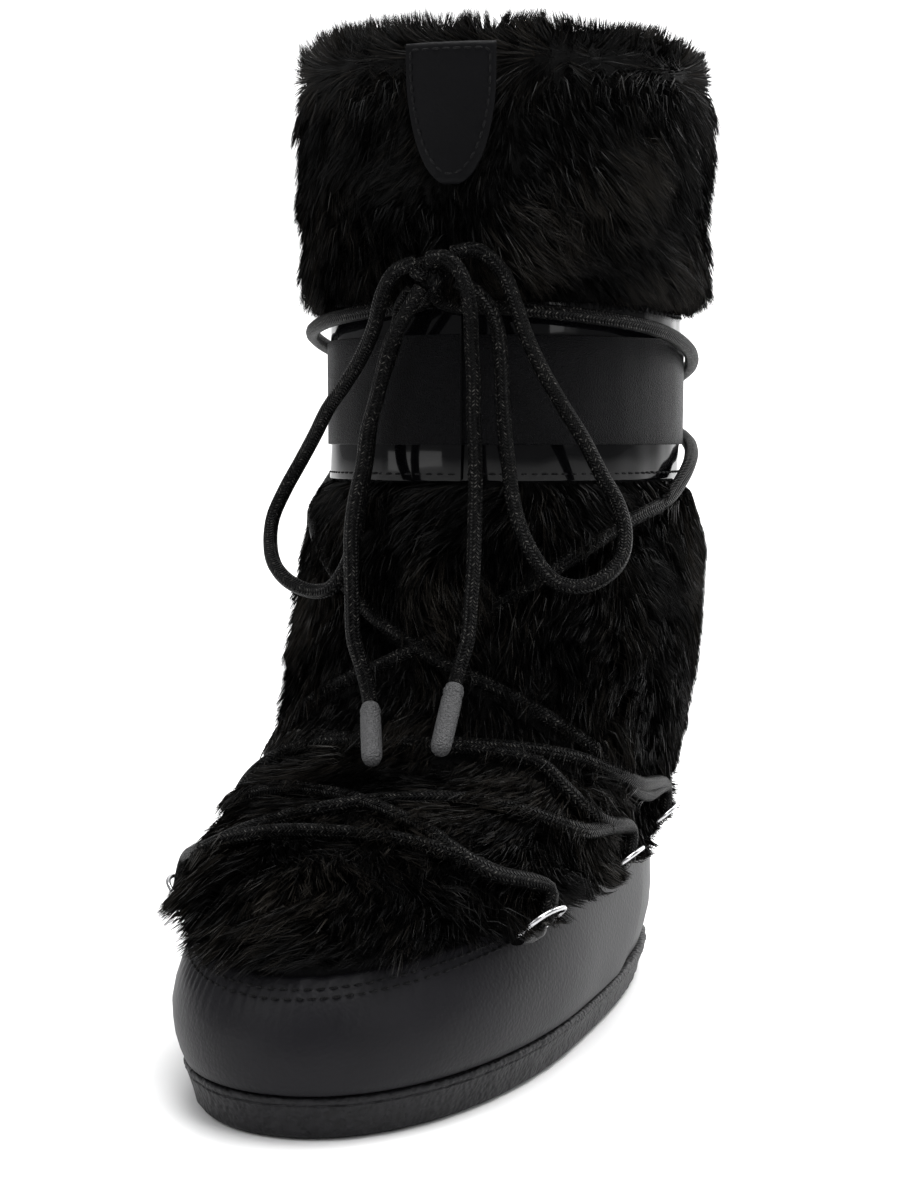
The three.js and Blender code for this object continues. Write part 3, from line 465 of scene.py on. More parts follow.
def leather(name, dark, light, roughness, grain=900.0, specular=0.12):
    material, nodes, links, surface = shader(name, roughness, Specular_IOR_Level=specular)
    cloud = pattern(nodes, links, "ShaderNodeTexNoise", 22.0, Detail=6.0, Roughness=0.6)
    pores = pattern(nodes, links, "ShaderNodeTexVoronoi", grain, feature="SMOOTH_F1")
    fine = pattern(nodes, links, "ShaderNodeTexNoise", 2.4 * grain, Detail=3.0)
    links.new(ramp(nodes, links, cloud.outputs[0], dark, light, 0.3, 0.72), surface.inputs["Base Color"])
    links.new(spread(nodes, links, cloud.outputs[0], roughness - 0.07, roughness + 0.08), surface.inputs["Roughness"])
    relief(nodes, links, surface, [
        (pores.outputs["Distance"], 0.00022, 0.45), (fine.outputs[0], 0.0001, 0.3), (cloud.outputs[0], 0.0008, 0.2)])
    return material


def rubber(name, dark, light, roughness, size, specular=0.2):
    material, nodes, links, surface = shader(name, roughness, Specular_IOR_Level=specular)
    pebble = pattern(nodes, links, "ShaderNodeTexVoronoi", size, feature="SMOOTH_F1")
    hammer = pattern(nodes, links, "ShaderNodeTexNoise", 0.8 * size, Detail=4.0, Distortion=0.6)
    links.new(ramp(nodes, links, hammer.outputs[0], dark, light, 0.35, 0.7), surface.inputs["Base Color"])
    relief(nodes, links, surface, [(pebble.outputs["Distance"], 0.0009, 0.75), (hammer.outputs[0], 0.0006, 0.6)])
    return material


def patent(name):
    material, nodes, links, surface = shader(
        name, 0.09, (0.0012, 0.0012, 0.0015), Specular_IOR_Level=0.09, Coat_Weight=0.11, Coat_Roughness=0.03)
    ripple = pattern(nodes, links, "ShaderNodeTexNoise", 30.0, stretch=(1, 1, 0.6), Detail=2.0)
    haze = pattern(nodes, links, "ShaderNodeTexNoise", 140.0, Detail=5.0)
    links.new(spread(nodes, links, haze.outputs[0], 0.05, 0.15), surface.inputs["Roughness"])
    relief(nodes, links, surface, [(ripple.outputs[0], 0.0012, 0.22)])
    return material


def braid(name, dark, light):
    """A braided sheath on a UV map whose first side runs round the lace and second along it in millimetres. Its light
    flecks differ at random from cell to cell and peak on each stitch's crest as a painted highlight.
    """
    material, nodes, links, surface = shader(name, 0.45, Specular_IOR_Level=0.07)
    coordinates = node(nodes, "ShaderNodeUVMap", uv_map="UVMap")
    parts = node(nodes, "ShaderNodeSeparateXYZ")
    links.new(coordinates.outputs["UV"], parts.inputs["Vector"])

    def calculate(operation, a, b=None, c=None):
        made = node(nodes, "ShaderNodeMath", operation=operation)
        for socket, value in zip(made.inputs, (a, b, c)):
            if value is None:
                continue
            if isinstance(value, (int, float)):
                socket.default_value = value
            else:
                links.new(value, socket)
        return made.outputs["Value"]

    columns = calculate("MULTIPLY", parts.outputs["X"], BRAID_COLUMNS)
    zigzag = calculate("PINGPONG", columns, 1.0)
    rows = calculate("MULTIPLY_ADD", parts.outputs["Y"], BRAID_ROWS, calculate("MULTIPLY", zigzag, 0.8))
    carrier = calculate("POWER", calculate("MULTIPLY", calculate("PINGPONG", rows, 0.5), 2.0), 1.6)
    off_centre = calculate("MULTIPLY", calculate("ABSOLUTE", calculate("SUBTRACT", zigzag, 0.5)), 2.0)
    stitch = calculate("MULTIPLY", carrier, calculate("SUBTRACT", 1.0, calculate("POWER", off_centre, 2.0)))
    cell = node(nodes, "ShaderNodeCombineXYZ")
    links.new(calculate("FLOOR", columns), cell.inputs["X"])
    links.new(calculate("FLOOR", rows), cell.inputs["Y"])
    fleck = node(nodes, "ShaderNodeTexWhiteNoise", noise_dimensions="2D")
    links.new(cell.outputs["Vector"], fleck.inputs["Vector"])
    # Random flecks, brightest at each stitch's crest: partly the flecks' own colour, partly a painted highlight
    fleck_and_highlight = calculate("MULTIPLY", calculate("POWER", fleck.outputs["Value"], 2.2), calculate("POWER", stitch, 1.5))
    links.new(ramp(nodes, links, fleck_and_highlight, dark, light, 0.12, 0.8), surface.inputs["Base Color"])
    relief(nodes, links, surface, [(stitch, 0.0012, 1.0)])
    return material


def pile(name, spots):
    """Fur on two attributes: one paints shade that darkens towards the root, the other gives each strand a random tone
    whose light end is a painted brownish-grey glint.
    """
    material, nodes, links, surface = shader(name, 0.42, Specular_IOR_Level=0.1)
    shade = node(nodes, "ShaderNodeAttribute", attribute_name="shade")
    tone_and_glint = node(nodes, "ShaderNodeAttribute", attribute_name="tone_and_glint")
    # Near-black strand colour rising to a painted brownish-grey glint colour at the light end
    color = ramp(nodes, links, tone_and_glint.outputs["Fac"], *spots, 0.25, 0.95)
    darker = node(nodes, "ShaderNodeMix", data_type="RGBA", blend_type="MULTIPLY")
    darker.inputs["Factor"].default_value = 1.0
    links.new(color, darker.inputs["A"])
    links.new(shade.outputs["Color"], darker.inputs["B"])
    links.new(darker.outputs["Result"], surface.inputs["Base Color"])
    links.new(spread(nodes, links, tone_and_glint.outputs["Fac"], 0.5, 0.34), surface.inputs["Roughness"])
    return material


def plain_metal(name):
    material, nodes, links, surface = shader(name, 0.2, (0.42, 0.42, 0.43), Metallic=1.0)
    wear = pattern(nodes, links, "ShaderNodeTexNoise", 700.0, Detail=6.0)
    links.new(spread(nodes, links, wear.outputs[0], 0.12, 0.3), surface.inputs["Roughness"])
    return material


def cloth(name, dark, light, size, stretch=(1, 1, 1)):
    material, nodes, links, surface = shader(name, 0.9, Specular_IOR_Level=0.1, Sheen_Weight=0.03, Sheen_Roughness=0.5)
    tuft = pattern(nodes, links, "ShaderNodeTexNoise", size, stretch=stretch, Detail=8.0, Roughness=0.7)
    bumpy = pattern(nodes, links, "ShaderNodeTexVoronoi", 0.45 * size, feature="SMOOTH_F1")
    links.new(ramp(nodes, links, tuft.outputs[0], dark, light, 0.35, 0.7), surface.inputs["Base Color"])
    relief(nodes, links, surface, [(tuft.outputs[0], 0.0009, 0.7), (bumpy.outputs["Distance"], 0.001, 0.5)])
    return material


MATERIALS = {}


def finish_named(name):
    """Materials are made once, when the first piece asks for them."""
    makers = {
        "rand": lambda: leather("rand_leather", (0.0034, 0.0033, 0.0042), (0.0068, 0.0065, 0.0082), 0.46),
        "tab": lambda: leather("tab_leather", (0.0015, 0.0015, 0.0018), (0.004, 0.004, 0.0045), 0.36, 1400.0),
        "patch": lambda: leather("patch_leather", (0.0014, 0.0014, 0.0017), (0.003, 0.003, 0.0035), 0.5, 1200.0,
                                 0.05),
        "thread": lambda: cloth("stitch_thread", (0.002, 0.002, 0.0023), (0.006, 0.006, 0.0066), 2500.0),
        "sole": lambda: rubber("sole_rubber", (0.003, 0.0029, 0.0035), (0.0075, 0.0072, 0.0088), 0.55, 620.0),
        "strip": lambda: rubber("strip_rubber", (0.0015, 0.0015, 0.0019), (0.0033, 0.0033, 0.004), 0.42, 2600.0,
                                0.06),
        "patent": lambda: patent("patent_band"),
        # The braid's light colour is partly the flecks' own colour and partly a painted highlight on the stitch crests
        "braid": lambda: braid("lace_braid", (0.0007, 0.0007, 0.0008), (0.14, 0.135, 0.125)),
        "aglet": lambda: rubber("aglet_plastic", (0.04, 0.04, 0.041), (0.07, 0.07, 0.072), 0.42, 1800.0),
        "metal": lambda: plain_metal("ring_wire"),
        # The fur's light colour is a painted glint on a few strands; the dark one is the strands' own near-black
        "fur": lambda: pile("long_fur", ((0.0003, 0.0003, 0.00035), (0.019, 0.0166, 0.0138))),
        "bed": lambda: cloth("fur_backing", (0.0008, 0.0008, 0.0008), (0.002, 0.002, 0.002), 500.0),
        "lining": lambda: cloth("fleece_lining", (0.003, 0.003, 0.0034), (0.01, 0.01, 0.011), 900.0),
        "felt": lambda: cloth("felt_insole", (0.005, 0.005, 0.0055), (0.014, 0.014, 0.015), 1500.0),
    }
    if name not in MATERIALS:
        MATERIALS[name] = makers[name]()
    return MATERIALS[name]


# Laces

def tube(points, radius, sides, offset=0):
    """Vertices, quads and UVs of a round cord along points, closed by small caps of quads."""
    points = np.asarray(points, float)
    along = unit(np.gradient(points, axis=0))
    side = np.empty_like(points)
    start = np.cross(along[0], (0, 0, 1)) if abs(along[0][2]) < 0.9 else np.cross(along[0], (1, 0, 0))
    side[0] = unit(start)
    for i in range(1, len(points)):
        side[i] = unit(side[i - 1] - along[i] * (side[i - 1] @ along[i]))
    other = np.cross(along, side)
    turn = np.arange(sides) * 2 * np.pi / sides
    radius = np.broadcast_to(np.asarray(radius, float), len(points))
    ring = (side[:, None] * np.cos(turn)[None, :, None] + other[:, None] * np.sin(turn)[None, :, None])
    vertices = (points[:, None] + ring * radius[:, None, None]).reshape(-1, 3)
    run = np.concatenate([[0], np.cumsum(np.linalg.norm(np.diff(points, axis=0), axis=1))])
    faces, uv = [], []
    for i in range(len(points) - 1):
        for k in range(sides):
            n = (k + 1) % sides
            faces.append((i * sides + k, i * sides + n, (i + 1) * sides + n, (i + 1) * sides + k))
            left, right = k / sides, (k + 1) / sides
            uv += [(left, run[i]), (right, run[i]), (right, run[i + 1]), (left, run[i + 1])]
    last = (len(points) - 1) * sides
    for k in range(1, sides - 1, 2):
        n = (k + 2) % sides
        faces.append((0, n, k + 1, k))
        faces.append((last, last + k, last + k + 1, last + n))
        uv += [(0, 0), (0.1, 0), (0.1, 0.1), (0, 0.1)] * 2
    return vertices, np.asarray(faces) + offset, np.asarray(uv)


def cord_piece(name, paths, radius, sides):
    vertices, faces, uv = [], [], []
    count = 0
    for path in paths:
        v, f, t = tube(path, radius, sides, count)
        vertices.append(v)
        faces.append(f)
        uv.append(t)
        count += len(v)
    return mesh_piece(name, np.vstack(vertices), np.vstack(faces), np.vstack(uv))


# How far the laces lie in the pile, and how far off the skin their middle runs
SUNK = 6.2
FUR_LIFT = LOWER_PILE + CLEARANCE + LACE_DIAMETER / 2 + 1.2 - SUNK
BAND_LIFT = STRIP_OUT + 2 * CLEARANCE + LACE_DIAMETER / 2
LAP_LIFT = BAND_LIFT + BAND_LAP + CLEARANCE
BASE_LIFT = RAND_EDGE + 0.5 * TAB_DEPTH + 2.3
BAR = ((67, 48), (72, 36), (75, 22), (76.5, 8), (76.5, -8), (75, -22), (72, -36), (67, -48))
LOW_CROSS = (
    (73, 70), (78, 57), (81, 45), (83.5, 31), (84, 15), (83, 1), (80.5, -11), (77.5, -23), (73.5, -34), (68, -45))
HIGH_CROSS = (
    (80, 88), (86, 72), (91, 57), (94.5, 41), (96.5, 24), (97, 7), (96.5, -9), (95, -26), (91, -43), (84, -60),
    (74, -77))
ANKLE_TURN = (
    (74, -97), (82, -82), (92, -63), (102, -43), (112, -25), (120, -9), (128, 3), (134, 13), (141, 22), (149, 33),
    (158, 46), (166, 60), (172, 76))
SHAFT_TURN = (
    (185, 98), (193, 120), (199, 145), (204, 170), (208, 195), (213, 220), (219, 245), (225, 270), (230, 295),
    (233, 318), (235, 338), (237.5, 357.5))


def over(rows, lift):
    table = np.asarray(rows, float)
    return at(table[:, 0], table[:, 1], lift)


def bedded(rows, far_end=True):
    """Lace points over the fur, sunk into the pile except where they rise to a ring."""
    order = np.arange(len(rows))
    steps = np.minimum(order, order[::-1]) if far_end else order
    return over(rows, FUR_LIFT + SUNK * np.array([0.62, 0.25, 0.0])[np.minimum(steps, 2)])


def ring_frame(angle):
    """A ring's base in its tab and the directions round the boot, up, out and along the leaning ring."""
    height = float(fur_edge(angle)) - TAB_HEIGHT / 2 - CLEARANCE
    around, up, out = (v[0] for v in axes(row_at(np.array([height])), np.array([float(angle)])))
    lean = up * math.cos(math.radians(RING_TILT)) + out * math.sin(math.radians(RING_TILT))
    return at([height], [angle], BASE_LIFT)[0], around, up, out, lean


def through_ring(angle):
    base, around, up, out, lean = ring_frame(abs(angle))
    hole = base + lean * (RING_HEIGHT / 2 + 0.6)
    points = np.array([hole - up, hole, hole + up * 9])
    return points * (-1, 1, 1) if angle < 0 else points


def knot_centre():
    return at([KNOT_HEIGHT], [KNOT_ANGLE], KNOT_LIFT)[0]


def strand_routes():
    """The strands over the fur and round the shaft, in millimetres, with the mirror image of each crossing."""
    front, middle, back = RING_ANGLES
    turn = np.vstack([through_ring(-back), bedded(ANKLE_TURN, False), over(SHAFT_TURN[:8], BAND_LIFT),
                      over(SHAFT_TURN[8:], LAP_LIFT)])
    low = np.vstack([through_ring(middle), bedded(LOW_CROSS), through_ring(-front)[::-1]])
    high = np.vstack([through_ring(back), bedded(HIGH_CROSS), through_ring(-middle)[::-1]])
    bar = np.vstack([through_ring(front), bedded(BAR), through_ring(-front)[::-1]])
    flip = np.array([-1, 1, 1])
    return [bar, low, low * flip, high, high * flip,
            np.vstack([turn, knot_centre()]), np.vstack([turn * flip, knot_centre()])]


class CordSizes(bpy.types.PropertyGroup):
    diameter: bpy.props.FloatProperty(
        name="Lace diameter", description="Thickness of the round lace", default=LACE_DIAMETER * MM, min=0.003,
        max=0.007, unit="LENGTH", subtype="DISTANCE")
    aglet_diameter: bpy.props.FloatProperty(
        name="Aglet diameter", description="Thickness of the moulded tips", default=AGLET_DIAMETER * MM,
        min=0.004, max=0.009, unit="LENGTH", subtype="DISTANCE")


# The camera turns by the yaw in degrees, and its place and aim are in metres aside, ahead and up
CAMERA_YAW = 24.8
CAMERA_ASIDE, CAMERA_AHEAD, CAMERA_HEIGHT = -0.0794, -0.7506, 0.1933
AIM_ASIDE, AIM_HEIGHT = 0.079, -0.0778
SENSOR = 36.0
FOCAL_PIXELS, PHOTO_HEIGHT = 2091, 1200

FLOOR_SIZE, FLOOR_MIDDLE, FLOOR_DROP = 8, -1.2, -0.0004
WALL_HEIGHT, WALL_BEND = 5, 1.6

# Each light's place in metres, its width and height, its watts and where it points
BOOT_MIDDLE = (0, -0.05, 0.17)
BACKDROP = (0, 2.6, 0.3)
LIGHTS = (
    ("key_light", (-1.0, -1.5, 1.5), (1.0, 1.0), 11, BOOT_MIDDLE),
    ("low_light", (-0.75, -1.1, 0.08), (1.0, 0.26), 2.4, BOOT_MIDDLE),
    ("side_light", (1.6, -0.9, 0.9), (0.5, 1.2), 7, BOOT_MIDDLE),
    ("top_light", (0.3, -0.2, 2.1), (1.4, 1.4), 54, BOOT_MIDDLE),
    ("back_light", (0.9, 1.4, 1.3), (1.0, 1.0), 18, BOOT_MIDDLE),
    ("backdrop_light", (0.0, 0.9, 2.6), (2.4, 1.2), 90, BACKDROP),
)


class BOOT_OT_camera(bpy.types.Operator):
    """Places the camera where the boot was photographed from, a little wider so that the whole boot is in view"""
    bl_idname = "boot.camera"
    bl_label = "Camera"

    def execute(self, context):
        yaw = math.radians(CAMERA_YAW)
        right = Vector((math.cos(yaw), math.sin(yaw), 0))
        ahead = Vector((-math.sin(yaw), math.cos(yaw), 0))
        place = (right * CAMERA_ASIDE) + (ahead * CAMERA_AHEAD) + Vector((0, 0, CAMERA_HEIGHT))
        aim = ahead + right * AIM_ASIDE + Vector((0, 0, AIM_HEIGHT))
        data = bpy.data.cameras.new("camera")
        data.sensor_width = SENSOR
        data.lens = FOCAL_PIXELS / PHOTO_HEIGHT * SENSOR
        data.clip_start, data.clip_end = 0.01, 20
        camera = bpy.data.objects.new("camera", data)
        context.scene.collection.objects.link(camera)
        camera.location = place
        camera.rotation_euler = aim.to_track_quat("-Z", "Y").to_euler()
        context.scene.camera = camera
        return {"FINISHED"}


class BOOT_OT_laces(bpy.types.Operator):
    """Makes the bow's loops and ends, the knot, the tips and the strands over the fur"""
    bl_idname = "boot.laces"
    bl_label = "Laces"

    def execute(self, context):
        sizes = context.scene.boot_cords
        radius = sizes.diameter / MM / 2
        material = finish_named("braid")
        tips = {}
        for side, route, drop in (
                ("left", END_LEFT, AGLET_DROP_LEFT), ("right", END_RIGHT, AGLET_DROP_RIGHT)):
            direction = unit(np.array(drop))
            start = np.array(route[-1], float) + direction * 3 * CLEARANCE
            half = sizes.aglet_diameter / MM / 2
            along = np.array([-1.6, -0.2, 0.0, 1.2, 1.6, 3.0, 3.3, AGLET_LENGTH - 2 * half, AGLET_LENGTH - half,
                              AGLET_LENGTH - 0.45 * half, AGLET_LENGTH - 0.1 * half, AGLET_LENGTH])
            wide = half * np.array([0.86, 0.9, 1.0, 1.0, 0.92, 0.92, 1.0, 1.0, 0.98, 0.8, 0.45, 0.05])
            path = start + direction * along[:, None]
            tip = cord_piece(f"lace_tip_{side}", [path], wide, 28)
            smooth(tip, 40)
            tips[side] = dress(tip, finish_named("aglet"), "aglet_plastic", f"aglet_{side}")
        for name, route, far_end, along in (
                ("loop_left", LOOP_LEFT, "object", ()), ("loop_right", LOOP_RIGHT, "object", ()),
                ("end_left", END_LEFT, "fitting", [tips["left"]]),
                ("end_right", END_RIGHT, "fitting", [tips["right"]])):
            path = spline(route, 1.6)
            piece = cord_piece(f"bow_{name}", [path], radius, 12)
            dress(piece, material, "lace_braid", f"lace_{name}")
        strands = cord_piece("lace_strands", [spline(route, 2.2) for route in strand_routes()], radius, 12)
        dress(strands, material, "lace_braid", "lace_crossings")
        t = np.linspace(0, 2 * np.pi, 72)
        turns = np.stack([np.sin(t) + 2 * np.sin(2 * t), 1.05 * np.sin(3 * t), np.cos(t) - 2 * np.cos(2 * t)], -1)
        knot = cord_piece("bow_knot", [knot_centre() + turns * (1.75, 2.2, 1.5)], 0.92 * radius, 12)
        dress(knot, material, "lace_braid", "lace_knot")
        return {"FINISHED"}


class BOOT_OT_stage(bpy.types.Operator):
    """Lays a pale floor and hangs soft studio lights"""
    bl_idname = "boot.stage"
    bl_label = "Stage"

    def execute(self, context):
        deselect()
        bpy.ops.mesh.primitive_plane_add(size=FLOOR_SIZE, location=(0, FLOOR_MIDDLE, FLOOR_DROP))
        floor = context.object
        floor.name = "studio_floor"
        bpy.ops.object.mode_set(mode="EDIT")
        bpy.ops.mesh.select_mode(type="EDGE")
        bpy.ops.mesh.select_all(action="DESELECT")
        bpy.ops.object.mode_set(mode="OBJECT")
        for edge in floor.data.edges:
            edge.select = all(floor.data.vertices[i].co.y > FLOOR_SIZE / 2 - 1 for i in edge.vertices)
        bpy.ops.object.mode_set(mode="EDIT")
        bpy.ops.mesh.extrude_region_move(TRANSFORM_OT_translate={"value": (0, 0, WALL_HEIGHT)})
        bpy.ops.mesh.select_all(action="SELECT")
        bpy.ops.object.mode_set(mode="OBJECT")
        modify(floor, "BEVEL", width=WALL_BEND, segments=24, limit_method="ANGLE")
        smooth(floor, 60)
        material, nodes, links, surface = shader("studio_floor", 0.7, (0.86, 0.86, 0.86))
        grain = pattern(nodes, links, "ShaderNodeTexNoise", 60.0, Detail=3.0)
        links.new(ramp(nodes, links, grain.outputs[0], (0.85, 0.85, 0.85), (0.88, 0.88, 0.88)),
                  surface.inputs["Base Color"])
        floor.data.materials.append(material)
        world = bpy.data.worlds.new("studio")
        context.scene.world = world
        world.use_nodes = True
        world.node_tree.nodes["Background"].inputs["Color"].default_value = (0.98, 0.985, 1.0, 1)
        world.node_tree.nodes["Background"].inputs["Strength"].default_value = 0.4
        context.scene.view_settings.view_transform = "Standard"
        for name, place, size, power, target in LIGHTS:
            data = bpy.data.lights.new(name, "AREA")
            data.shape = "RECTANGLE"
            data.size, data.size_y = size
            data.energy = power
            light = bpy.data.objects.new(name, data)
            context.scene.collection.objects.link(light)
            light.location = place
            light.rotation_euler = (Vector(target) - Vector(place)).to_track_quat("-Z", "Y").to_euler()
        return {"FINISHED"}


# Fur

STRAND_CORNERS = 5
LOWER_REACH = 12.5
CUFF_REACH = 14.0
RIM_HEIGHT = 6.0
RIM_REACH = 11.0
RIM_DEPTH = 13
CLUMP = 6.0
FINE_CLUMP = 2.2
INSTEP_START = -96
TOE_START = -140


def strand_mesh(name, roots, middles, tips, widths, tones_and_glints):
    """Blades of three triangles each, one mesh for a region of the pile."""
    count = len(roots)
    fall = unit(tips - roots)
    rng = np.random.default_rng(len(name) + count)
    side = unit(np.cross(fall, rng.normal(size=(count, 3)) * 0.55 + unit(np.cross(fall, (0.0, 0.0, 1.0)))))
    side = np.where(np.isfinite(side), side, (1.0, 0.0, 0.0))
    half = widths[:, None] / 2
    points = np.stack([roots - side * half, roots + side * half, middles + side * half * 0.85,
                       middles - side * half * 0.85, tips], 1).reshape(-1, 3)
    base = np.arange(count)[:, None] * STRAND_CORNERS
    faces = np.concatenate([base + (0, 1, 2), base + (0, 2, 3), base + (3, 2, 4)], 1).reshape(-1, 3)
    piece = mesh_piece(name, points, faces)
    shade = np.tile([0.12, 0.12, 0.7, 0.7, 1.0], count)
    for label, values in (("shade", shade), ("tone_and_glint", np.repeat(tones_and_glints, STRAND_CORNERS))):
        attribute = piece.data.attributes.new(label, "FLOAT", "POINT")
        attribute.data.foreach_set("value", values.astype(np.float32))
    return piece


def scatter(spot, across, up, density, seed, low=0.0, high=360.0):
    """Random shares over a patch of fur with an even number of roots for each square millimetre."""
    rng = np.random.default_rng(seed)
    turn, rise = np.meshgrid(np.linspace(low, high, across + 1), np.linspace(0, 1, up + 1), indexing="ij")
    grid = spot(turn, rise)
    a, b = grid[1:, :-1] - grid[:-1, :-1], grid[:-1, 1:] - grid[:-1, :-1]
    area = np.linalg.norm(np.cross(a, b), axis=-1)
    count = rng.poisson(area * density)
    i, j = np.nonzero(count)
    i, j = np.repeat(i, count[i, j]), np.repeat(j, count[i, j])
    angle = mix(low, high, (i + rng.uniform(size=len(i))) / across)
    return angle, (j + rng.uniform(size=len(j))) / up


def lower_row(angle, rise):
    return mix(row_at(fur_edge(angle) + 0.6), row_at(np.full(np.shape(angle), BAND_FOOT - 0.5)), rise)


def lace_tree(step=2.0):
    points = np.vstack([spline(route, step) for route in strand_routes()])
    tree = KDTree(len(points))
    for i, point in enumerate(points):
        tree.insert(point, i)
    tree.balance()
    return tree


def clumped(angle, row, pitch, seed):
    """The nearest clump's centre for each root, from a jittered scatter of centres on the skin."""
    rng = np.random.default_rng(seed)
    roots = skin(row, angle)
    keys = np.floor(roots / pitch + rng.uniform(size=3)).astype(int)
    _, first, member = np.unique(keys, axis=0, return_index=True, return_inverse=True)
    member = member.ravel()
    count = np.bincount(member)
    centre = np.stack([np.bincount(member, roots[:, k]) / count for k in range(3)], -1)
    return centre[member], member


def comb(angle, row, height, reach, tilt_share, seed, rising=None):
    """Roots, middles and tips of strands that fall down the skin in soft clumps."""
    rng = np.random.default_rng(seed)
    count = len(angle)
    around, up, out = axes(row, angle)
    roots = skin(row, angle)
    swirl = smooth_noise(roots, 55, seed) * 0.55 + smooth_noise(roots, 22, seed + 1) * 0.35
    lay = smooth_noise(roots, 34, seed + 2)
    centre, member = clumped(angle, row, CLUMP, seed + 3)
    fine_centre, fine_member = clumped(angle, row, FINE_CLUMP, seed + 4)
    clump_turn = rng.normal(size=member.max() + 1)[member] * 0.2
    fine_turn = rng.normal(size=fine_member.max() + 1)[fine_member] * 0.16
    clump_lift = rng.normal(size=member.max() + 1)[member] * 0.10
    turn = swirl + clump_turn + fine_turn + rng.normal(size=count) * 0.07
    fall = -up if rising is None else -up * (1 - 2 * rising[:, None])
    flow = unit(fall * np.cos(turn)[:, None] + around * np.sin(turn)[:, None])
    length = reach * (1 + 0.16 * lay + 0.12 * rng.normal(size=count))
    lift = height * np.clip(1 + 0.14 * lay + clump_lift + 0.07 * rng.normal(size=count), 0.35, 1.2)
    tips = roots + flow * (length * tilt_share)[:, None] + out * lift[:, None]
    gather = (centre - roots) * 0.3 + (fine_centre - roots) * 0.4
    tips += gather
    middles = roots + flow * (length * tilt_share * 0.36)[:, None] + out * (lift * 0.78)[:, None] + gather * 0.45
    # Tone drawn at random by clump and strand; the lighter draws take the painted glint colour
    tone_and_glint_draw = rng.uniform(size=fine_member.max() + 1)[fine_member] * 0.5 + rng.uniform(size=count) * 0.5
    return roots + out * 1.2, middles, tips, np.clip(tone_and_glint_draw + 0.22 * lay, 0, 1) ** 2


class FurSizes(bpy.types.PropertyGroup):
    density: bpy.props.FloatProperty(
        name="Strands per square millimetre", description="How many strands grow on each square millimetre of fur",
        default=2.35, min=0.2, max=2.6)
    width: bpy.props.FloatProperty(
        name="Strand width", description="Width of a strand at its root", default=0.00038, min=0.0002, max=0.0012,
        unit="LENGTH", subtype="DISTANCE")
    lower_height: bpy.props.FloatProperty(
        name="Lower pile", description="How far the fur of the foot and ankle stands off the skin",
        default=0.0084, min=0.005, max=0.014, unit="LENGTH", subtype="DISTANCE")
    cuff_height: bpy.props.FloatProperty(
        name="Cuff pile", description="How far the fur of the cuff stands off the skin", default=0.0118, min=0.008,
        max=0.02, unit="LENGTH", subtype="DISTANCE")


class BOOT_OT_lower_fur(bpy.types.Operator):
    """Grows the fur of the foot and ankle, pressed down under the laces"""
    bl_idname = "boot.lower_fur"
    bl_label = "Lower fur"

    def execute(self, context):
        sizes = context.scene.boot_fur

        def backing(u, v):
            outline = closed_profile([(0, 0.4), (0.04, 2.2), (0.3, 2.8), (0.7, 2.8), (0.96, 2.2), (1, 0.4)])(v)
            return lifted(lower_row(u * 360, outline[:, 0]), u * 360, outline[:, 1])
        bed = shell("fur_backing_lower", 96, 24, backing)
        dress(bed, finish_named("bed"), "long_fur", "fur_lower")
        angle, rise = scatter(lambda t, r: skin(lower_row(t, r), t), 120, 40, sizes.density, 11)
        row = lower_row(angle, rise)
        edge = np.clip(np.minimum(rise / 0.05, (1 - rise) / 0.06), 0, 1)
        tree = lace_tree()
        out = axes(row, angle)[2]
        beds = skin(row, angle) + out * FUR_LIFT
        clear = np.array([tree.find(point)[2] for point in beds])
        turn = (angle + 180) % 360 - 180
        bulge = np.where(clear < 2.4, 0.4, 0.95 + 0.27 * np.clip((clear - 2.4) / 11, 0, 1))
        side = np.clip(np.minimum((np.abs(turn) - 35) / 25, (140 - np.abs(turn)) / 20), 0.2, 1)
        overhang = 0.75 * np.exp(-rise / 0.13) * side
        height = sizes.lower_height / MM * (0.7 + 0.3 * edge + overhang) * bulge
        roots, middles, tips, tones_and_glints = comb(angle, row, height, np.full(len(angle), LOWER_REACH), 0.86, 21)
        hidden = 0.2 + 0.65 * np.clip((-turn - 20) / 22, 0, 1) + 0.25 * np.clip((turn - 50) / 20, 0, 1)
        hidden = np.maximum(hidden, 0.5 * np.clip((roots[:, 2] - 92) / 14, 0, 1))
        covers = np.random.default_rng(7).uniform(size=len(angle)) < hidden
        for points in (tips, middles):
            for i, point in enumerate(points):
                near, _, gap = tree.find(point)
                if gap < 3.2:
                    away = points[i] - np.array(near)
                    away += out[i] * (2.0 if covers[i] else -0.9 * float(away @ out[i]))
                    push = 2.8 if covers[i] else 3.0
                    points[i] = np.array(near) + away / max(1e-6, float(np.linalg.norm(away))) * push
        low = at(fur_edge(angle), angle, 0)[:, 2]
        drop = np.maximum(0, (low - 1.5) - tips[:, 2])
        tips[:, 2] += drop
        widths = sizes.width / MM * np.random.default_rng(5).uniform(0.7, 1.25, len(angle))
        front = tips[:, 1] < INSTEP_START
        ankle = ~front
        parts = {
            "pile_toe": front & (tips[:, 1] < TOE_START), "pile_instep": front & (tips[:, 1] >= TOE_START),
            "pile_shin": ankle & (np.abs(turn) < 90), "pile_heel": ankle & (np.abs(turn) >= 90)}
        for name, part in parts.items():
            piece = strand_mesh(name, roots[part], middles[part], tips[part], widths[part], tones_and_glints[part])
            dress(piece, finish_named("fur"), "long_fur", "fur_lower")
        return {"FINISHED"}


